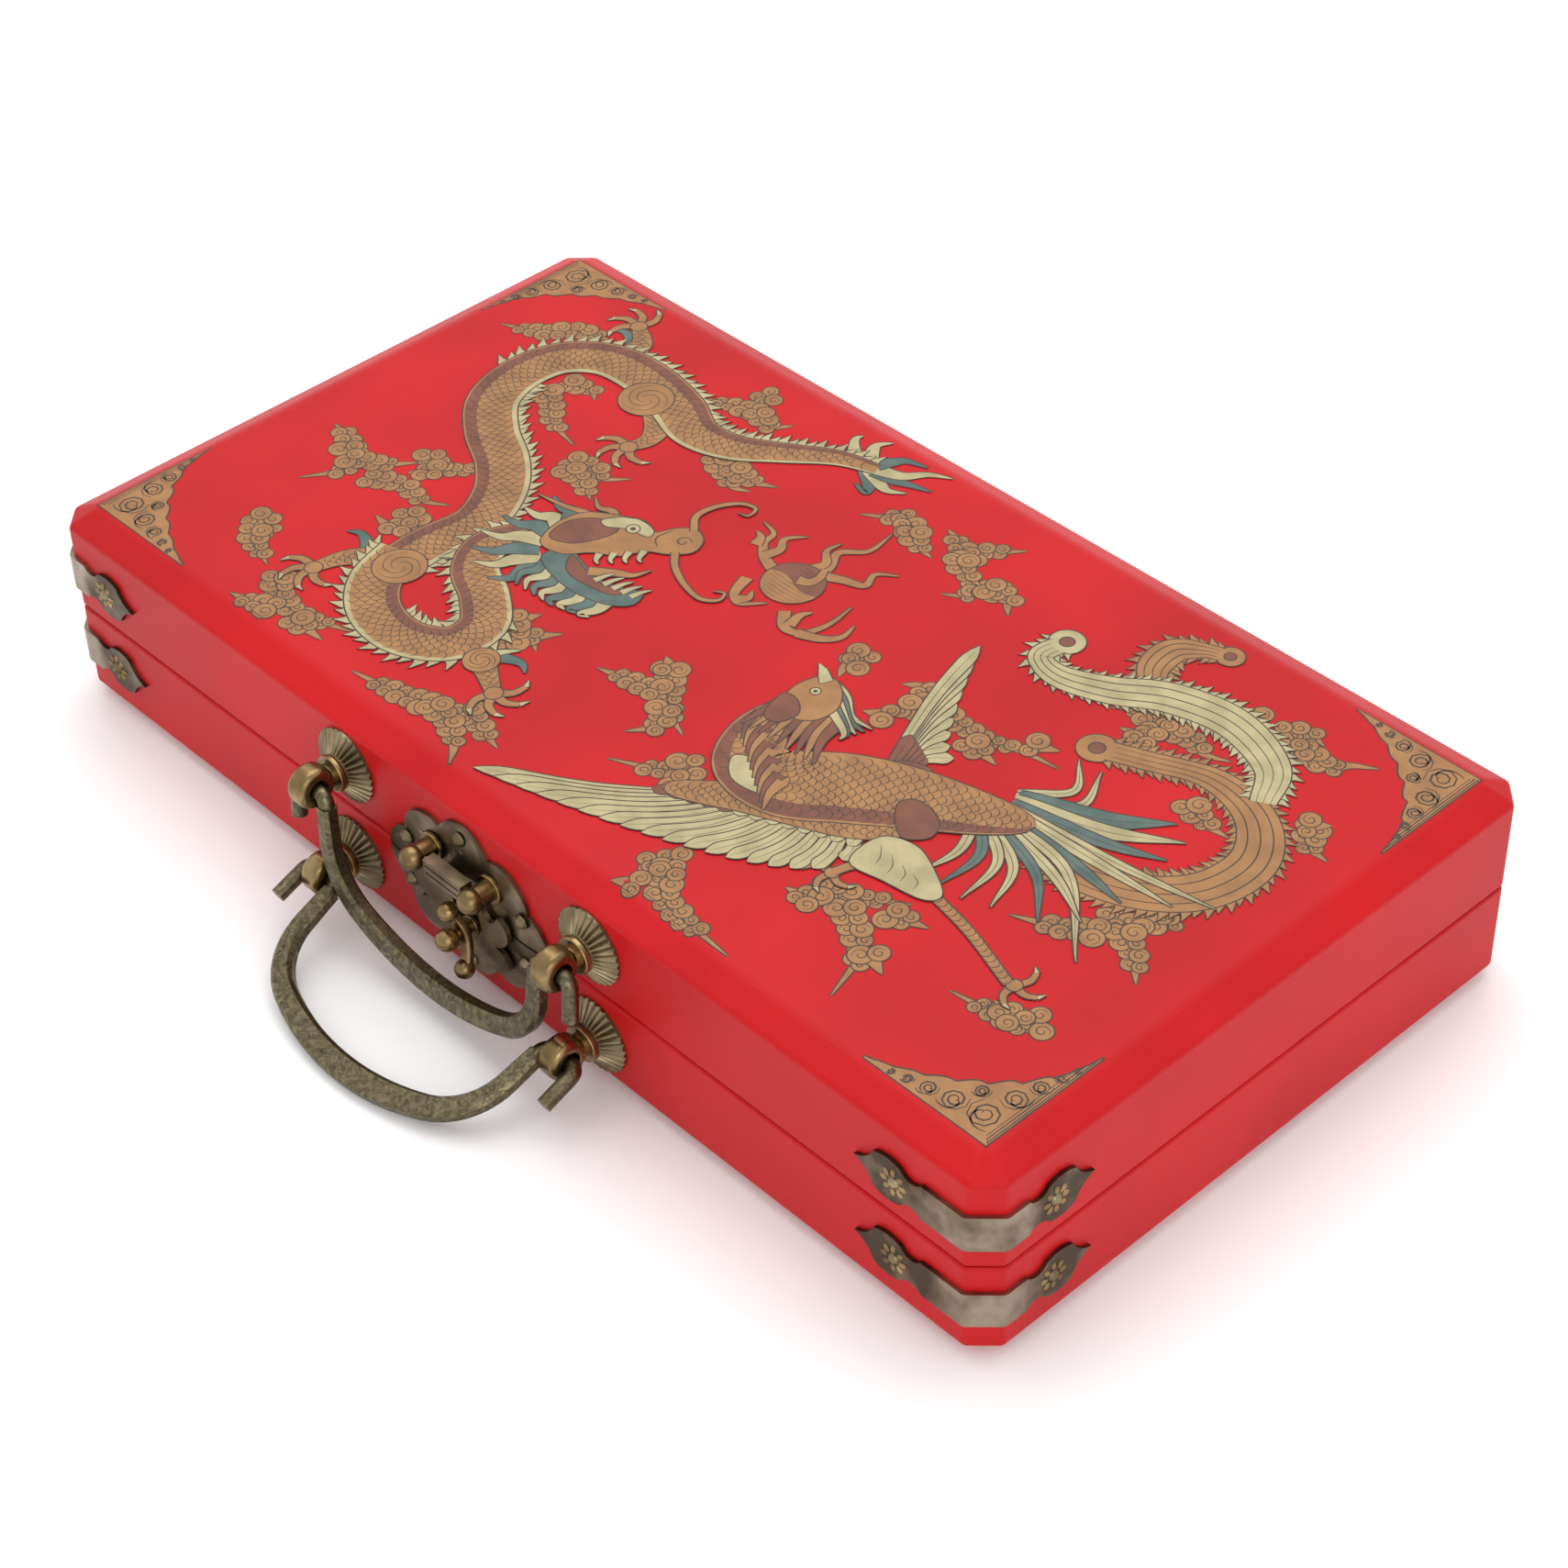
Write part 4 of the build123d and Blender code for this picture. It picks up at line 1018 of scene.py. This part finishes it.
@dataclass
class Phoenix(Creature):
    """Phoenix that flies over the right half and looks back at the pearl."""

    def draw(self) -> None:
        """Plumes, streamers, wings, body, legs and head, from the lowest film up."""
        self.plumes()
        self.streamers()
        self.far_wing()
        self.legs()
        self.near_wing()
        self.body()
        self.head()

    def plumes(self) -> None:
        """Three long tail plumes with barbed edges, a vein and an eye at the tip."""
        for points, wide, ink in (
                (((1180, 440), (1260, 452), (1335, 430), (1385, 380), (1392, 310), (1350, 256), (1280, 240),
                  (1210, 268), (1160, 290)), 8.8, OCHRE),
                (((1138, 172), (1112, 140), (1108, 100), (1130, 76), (1158, 62)), 6.4, OCHRE),
                (((1340, 232), (1310, 180), (1235, 152), (1160, 168), (1105, 206), (1050, 228), (1012, 216),
                  (1016, 176)), 8.2, CREAM)):
            path = self.path(points, 10)

            def girth(t: float, wide: float = wide) -> float:
                """Width of the plume at a share of its length."""
                return wide * (0.55 + 0.45 * sin(pi * min(1.0, t * 1.25)))

            self.fins(path, girth, 1, 1.9, ink)
            self.fins(path, girth, -1, 1.9, ink)
            self.edged_patch(ink, disc(path[-1], 0.42 * wide))
            self.edged_ribbon(ink, path, girth)
            self.lines([path, *rails(path, lambda t: 0.55 * girth(t))], 0.26)
            self.patch(ink, disc(path[-1], 0.38 * wide))
            self.edged_patch(RUSSET, disc(path[-1], 0.16 * wide))

    def streamers(self) -> None:
        """Thin tail feathers that fan out behind the body."""
        for bend, end, wide, ink in (
                ((1190, 360), (1160, 318), 1.6, CREAM), ((1210, 372), (1190, 316), 1.8, CREAM),
                ((1240, 372), (1300, 322), 4.6, TEAL), ((1250, 386), (1326, 338), 3.8, CREAM),
                ((1262, 398), (1330, 372), 2.6, TEAL), ((1290, 412), (1412, 392), 2.0, CREAM),
                ((1280, 424), (1380, 420), 2.2, CREAM), ((1270, 442), (1340, 452), 2.4, TEAL),
                ((1270, 456), (1366, 546), 2.0, CREAM), ((1262, 468), (1330, 500), 2.0, CREAM),
                ((1246, 478), (1300, 530), 1.8, TEAL), ((1226, 488), (1252, 548), 1.8, CREAM),
                ((1210, 494), (1222, 560), 1.8, CREAM), ((1190, 500), (1192, 560), 1.8, TEAL),
                ((1170, 508), (1166, 556), 1.8, CREAM)):
            start = (1150 + 0.1 * (bend[0] - 1190), 430 + 0.4 * (bend[1] - 430))
            self.feather((start, bend, end), wide, ink, False)

    def far_wing(self) -> None:
        """Raised wing behind the neck."""
        for k in range(9):
            t = k / 8
            root, tip = (1040 - 22 * t, 462 - 14 * t), (1066 - 112 * t ** 0.9, 410 - 158 * t ** 1.25)
            self.feather((root, (0.5 * (root[0] + tip[0]) - 8, 0.5 * (root[1] + tip[1]) - 4), tip), 3.2, CREAM)
        for k in range(5):
            t = k / 4
            self.feather(((1044 - 14 * t, 472), (1042 - 20 * t, 450), (1046 - 38 * t, 430 - 16 * t)), 3.0, RUSSET)
        self.form(((1020, 480), (1030, 452), (1062, 440), (1086, 458), (1076, 486), (1044, 494)), RUSSET)

    def near_wing(self) -> None:
        """Spread wing with long pale quills, short coverts and a scaled shoulder."""
        for k in range(18):
            t = 1 - k / 17
            root = (1072 - 165 * t, 556 + 92 * t)
            tip = (1098 - 378 * t ** 1.2, 604 + 172 * t ** 0.62)
            self.feather((root, (0.5 * (root[0] + tip[0]) + 8, 0.5 * (root[1] + tip[1]) + 4), tip), 3.2, CREAM)
        for k in range(13):
            t = 1 - k / 12
            self.feather(((1078 - 160 * t, 548 + 88 * t), (1084 - 182 * t, 566 + 84 * t),
                          (1086 - 208 * t, 584 + 82 * t)), 2.6, RUSSET if t > 0.6 else CREAM)
        path = self.path(((1104, 500), (1062, 546), (1010, 578), (960, 606), (915, 636), (884, 656)), 10)

        def girth(t: float) -> float:
            """Width of the shoulder, round at both ends."""
            return (13.0 - 9.5 * t) * sqrt(max(0.0, 1 - (2 * t - 1) ** 8)) + 0.2

        self.edged_ribbon(OCHRE, path, girth)
        self.scales(path, girth, 2.0)

    def body(self) -> None:
        """Neck, breast and back with scales."""
        path = self.path(((886, 470), (888, 520), (920, 562), (972, 560), (1020, 524), (1075, 490),
                                      (1140, 458), (1200, 428)), 12)

        def girth(t: float) -> float:
            """Width of the neck and body."""
            swell = 7.0 + 11.0 * sin(pi * min(1.0, 0.95 * t)) ** 1.5
            return swell * sqrt(max(0.0, 1 - max(0.0, 2 * t - 1) ** 8)) + 0.3

        self.form(((1100, 552), (1135, 536), (1172, 548), (1206, 570), (1196, 588),
                   (1150, 596), (1104, 600)), CREAM)
        self.lines([self.path(((1110 + 18 * k, 560 + 3 * k), (1122 + 18 * k, 574), (1126 + 18 * k, 586)))
                          for k in range(4)])
        self.edged_ribbon(OCHRE, path, girth)
        self.ribbon(RUSSET, rails(path, lambda t: 0.74 * girth(t))[1], lambda t: 0.2 * girth(t))
        self.scales(path, girth, 2.4, (-0.46, 0.46))
        self.form(((1090, 520), (1076, 500), (1090, 484), (1124, 492), (1136, 516), (1116, 536)), RUSSET)
        self.form(((900, 572), (918, 560), (948, 568), (976, 580), (960, 594), (924, 596)), CREAM)
        for k in range(10):
            u, v = 868 + 11 * k, 500 + 7 * k
            self.lock(((u, v), (u + 4, v + 22), (u + 18, v + 46)), 2.4, (RUSSET, OCHRE)[k % 2])

    def legs(self) -> None:
        """Long scaled shank with a foot, and the tucked foot."""
        shank = self.path(((1190, 574), (1260, 588), (1340, 614)))
        self.claw(1346, 612, 350, 4.4, 3)
        self.edged_ribbon(OCHRE, shank, lambda t: 1.8)
        self.scales(shank, lambda t: 1.8, 1.4)
        self.claw(1104, 624, 260, 4.2, 3)
        self.edged_ribbon(OCHRE, self.path(((1122, 586), (1110, 604), (1104, 622))), lambda t: 1.7)

    def head(self) -> None:
        """Hackles, head, beak, crest, wattle and eye."""
        for k in range(9):
            u = 872 + 8 * k
            self.lock(((u + 4, 450), (u - 4 + 2 * k, 488), (u - 6 + 5 * k, 530 - k)), 2.6, (RUSSET, OCHRE)[k % 2])
        for k in range(5):
            self.lock(((888, 414 + 4 * k), (914, 420 + 6 * k),
                       (942 + 3 * k, 438 + 6 * k), (972 - 3 * k, 438 + 9 * k)),
                      2.3, (CREAM, TEAL)[k % 2])
        self.form(((870, 414), (888, 408), (908, 420), (922, 442), (918, 470),
                   (898, 484), (874, 478), (862, 446)), OCHRE)
        self.edged_patch(CREAM, [self.sheet.on_lid(u, v) for u, v in
                                           ((852, 400), (866, 401), (884, 410), (878, 424), (868, 416))])
        self.form(((862, 464), (880, 460), (898, 476), (892, 500), (872, 500)), RUSSET)
        self.eye((884, 436), 0.9, 0.4)


@dataclass
class Studio:
    """Pale floor, soft light and the camera at the photograph's angle."""

    azimuth: float = 47.6834
    elevation: float = 40.7286
    roll: float = -0.0305
    across: float = 0.0197 * 0.25
    upward: float = 0.0242 * 0.25
    distance: float = 2.6595 * 0.25
    lens: float = 80.08
    sky: float = 1.0

    def build(self) -> None:
        """Camera, floor, lights and sky, with colours shown as they are."""
        bpy.context.scene.view_settings.view_transform = "Standard"
        self.camera()
        self.floor()
        self.lights()

    def camera(self) -> None:
        """Camera fitted to the case's corners."""
        a, e = radians(self.azimuth), radians(self.elevation)
        back = Vector((sin(a) * cos(e), -cos(a) * cos(e), sin(e)))
        right = Vector((0, 0, 1)).cross(back).normalized()
        up = back.cross(right)
        c, s = cos(self.roll), sin(self.roll)
        x_axis, y_axis = c * right + s * up, -s * right + c * up
        data = bpy.data.cameras.new("camera")
        data.sensor_width = 36.0
        data.lens = self.lens
        data.clip_start, data.clip_end = 0.01, 20.0
        shot = put("camera", data)
        turn = Matrix((x_axis, y_axis, back)).transposed().to_4x4()
        place = self.across * x_axis + self.upward * y_axis + self.distance * back
        shot.matrix_world = Matrix.Translation(place) @ turn
        bpy.context.scene.camera = shot

    def floor(self) -> None:
        """Large white sheet under the case."""
        half = 3.0
        mesh = bpy.data.meshes.new("floor")
        corners = [(-half, -half, 0), (half, -half, 0), (half, half, 0), (-half, half, 0)]
        mesh.from_pydata(corners, [], [(0, 1, 2, 3)])
        paper = bpy.data.materials.new("white_paper")
        paper.use_nodes = True
        shader = paper.node_tree.nodes["Principled BSDF"]
        shader.inputs["Base Color"].default_value = linear("#F7F7F7")
        shader.inputs["Roughness"].default_value = 0.9
        mesh.materials.append(paper)
        sheet = put("floor", mesh)

    def lights(self) -> None:
        """White tent with one large soft box above and one at the right."""
        world = bpy.data.worlds.new("tent")
        world.use_nodes = True
        world.node_tree.nodes["Background"].inputs["Color"].default_value = (1, 1, 1, 1)
        world.node_tree.nodes["Background"].inputs["Strength"].default_value = self.sky
        bpy.context.scene.world = world
        for name, place, power, size in (("soft_box_top", (-0.3, 0.3, 1.3), 8.0, 1.2),
                                         ("soft_box_right", (1.2, -0.7, 0.7), 4.0, 0.9)):
            data = bpy.data.lights.new(name, "AREA")
            data.energy, data.size = power, size
            lamp = put(name, data)
            lamp.location = place
            lamp.rotation_mode = "QUATERNION"
            lamp.rotation_quaternion = (-Vector(place)).to_track_quat("-Z", "Y")


def main() -> None:
    """Build the classes in order."""
    logging.basicConfig(level=logging.INFO, format="%(message)s")
    Studio().build()
    Shell().dress()
    BracketFlowers().build()
    Print().build()


if __name__ == "__main__":
    main()
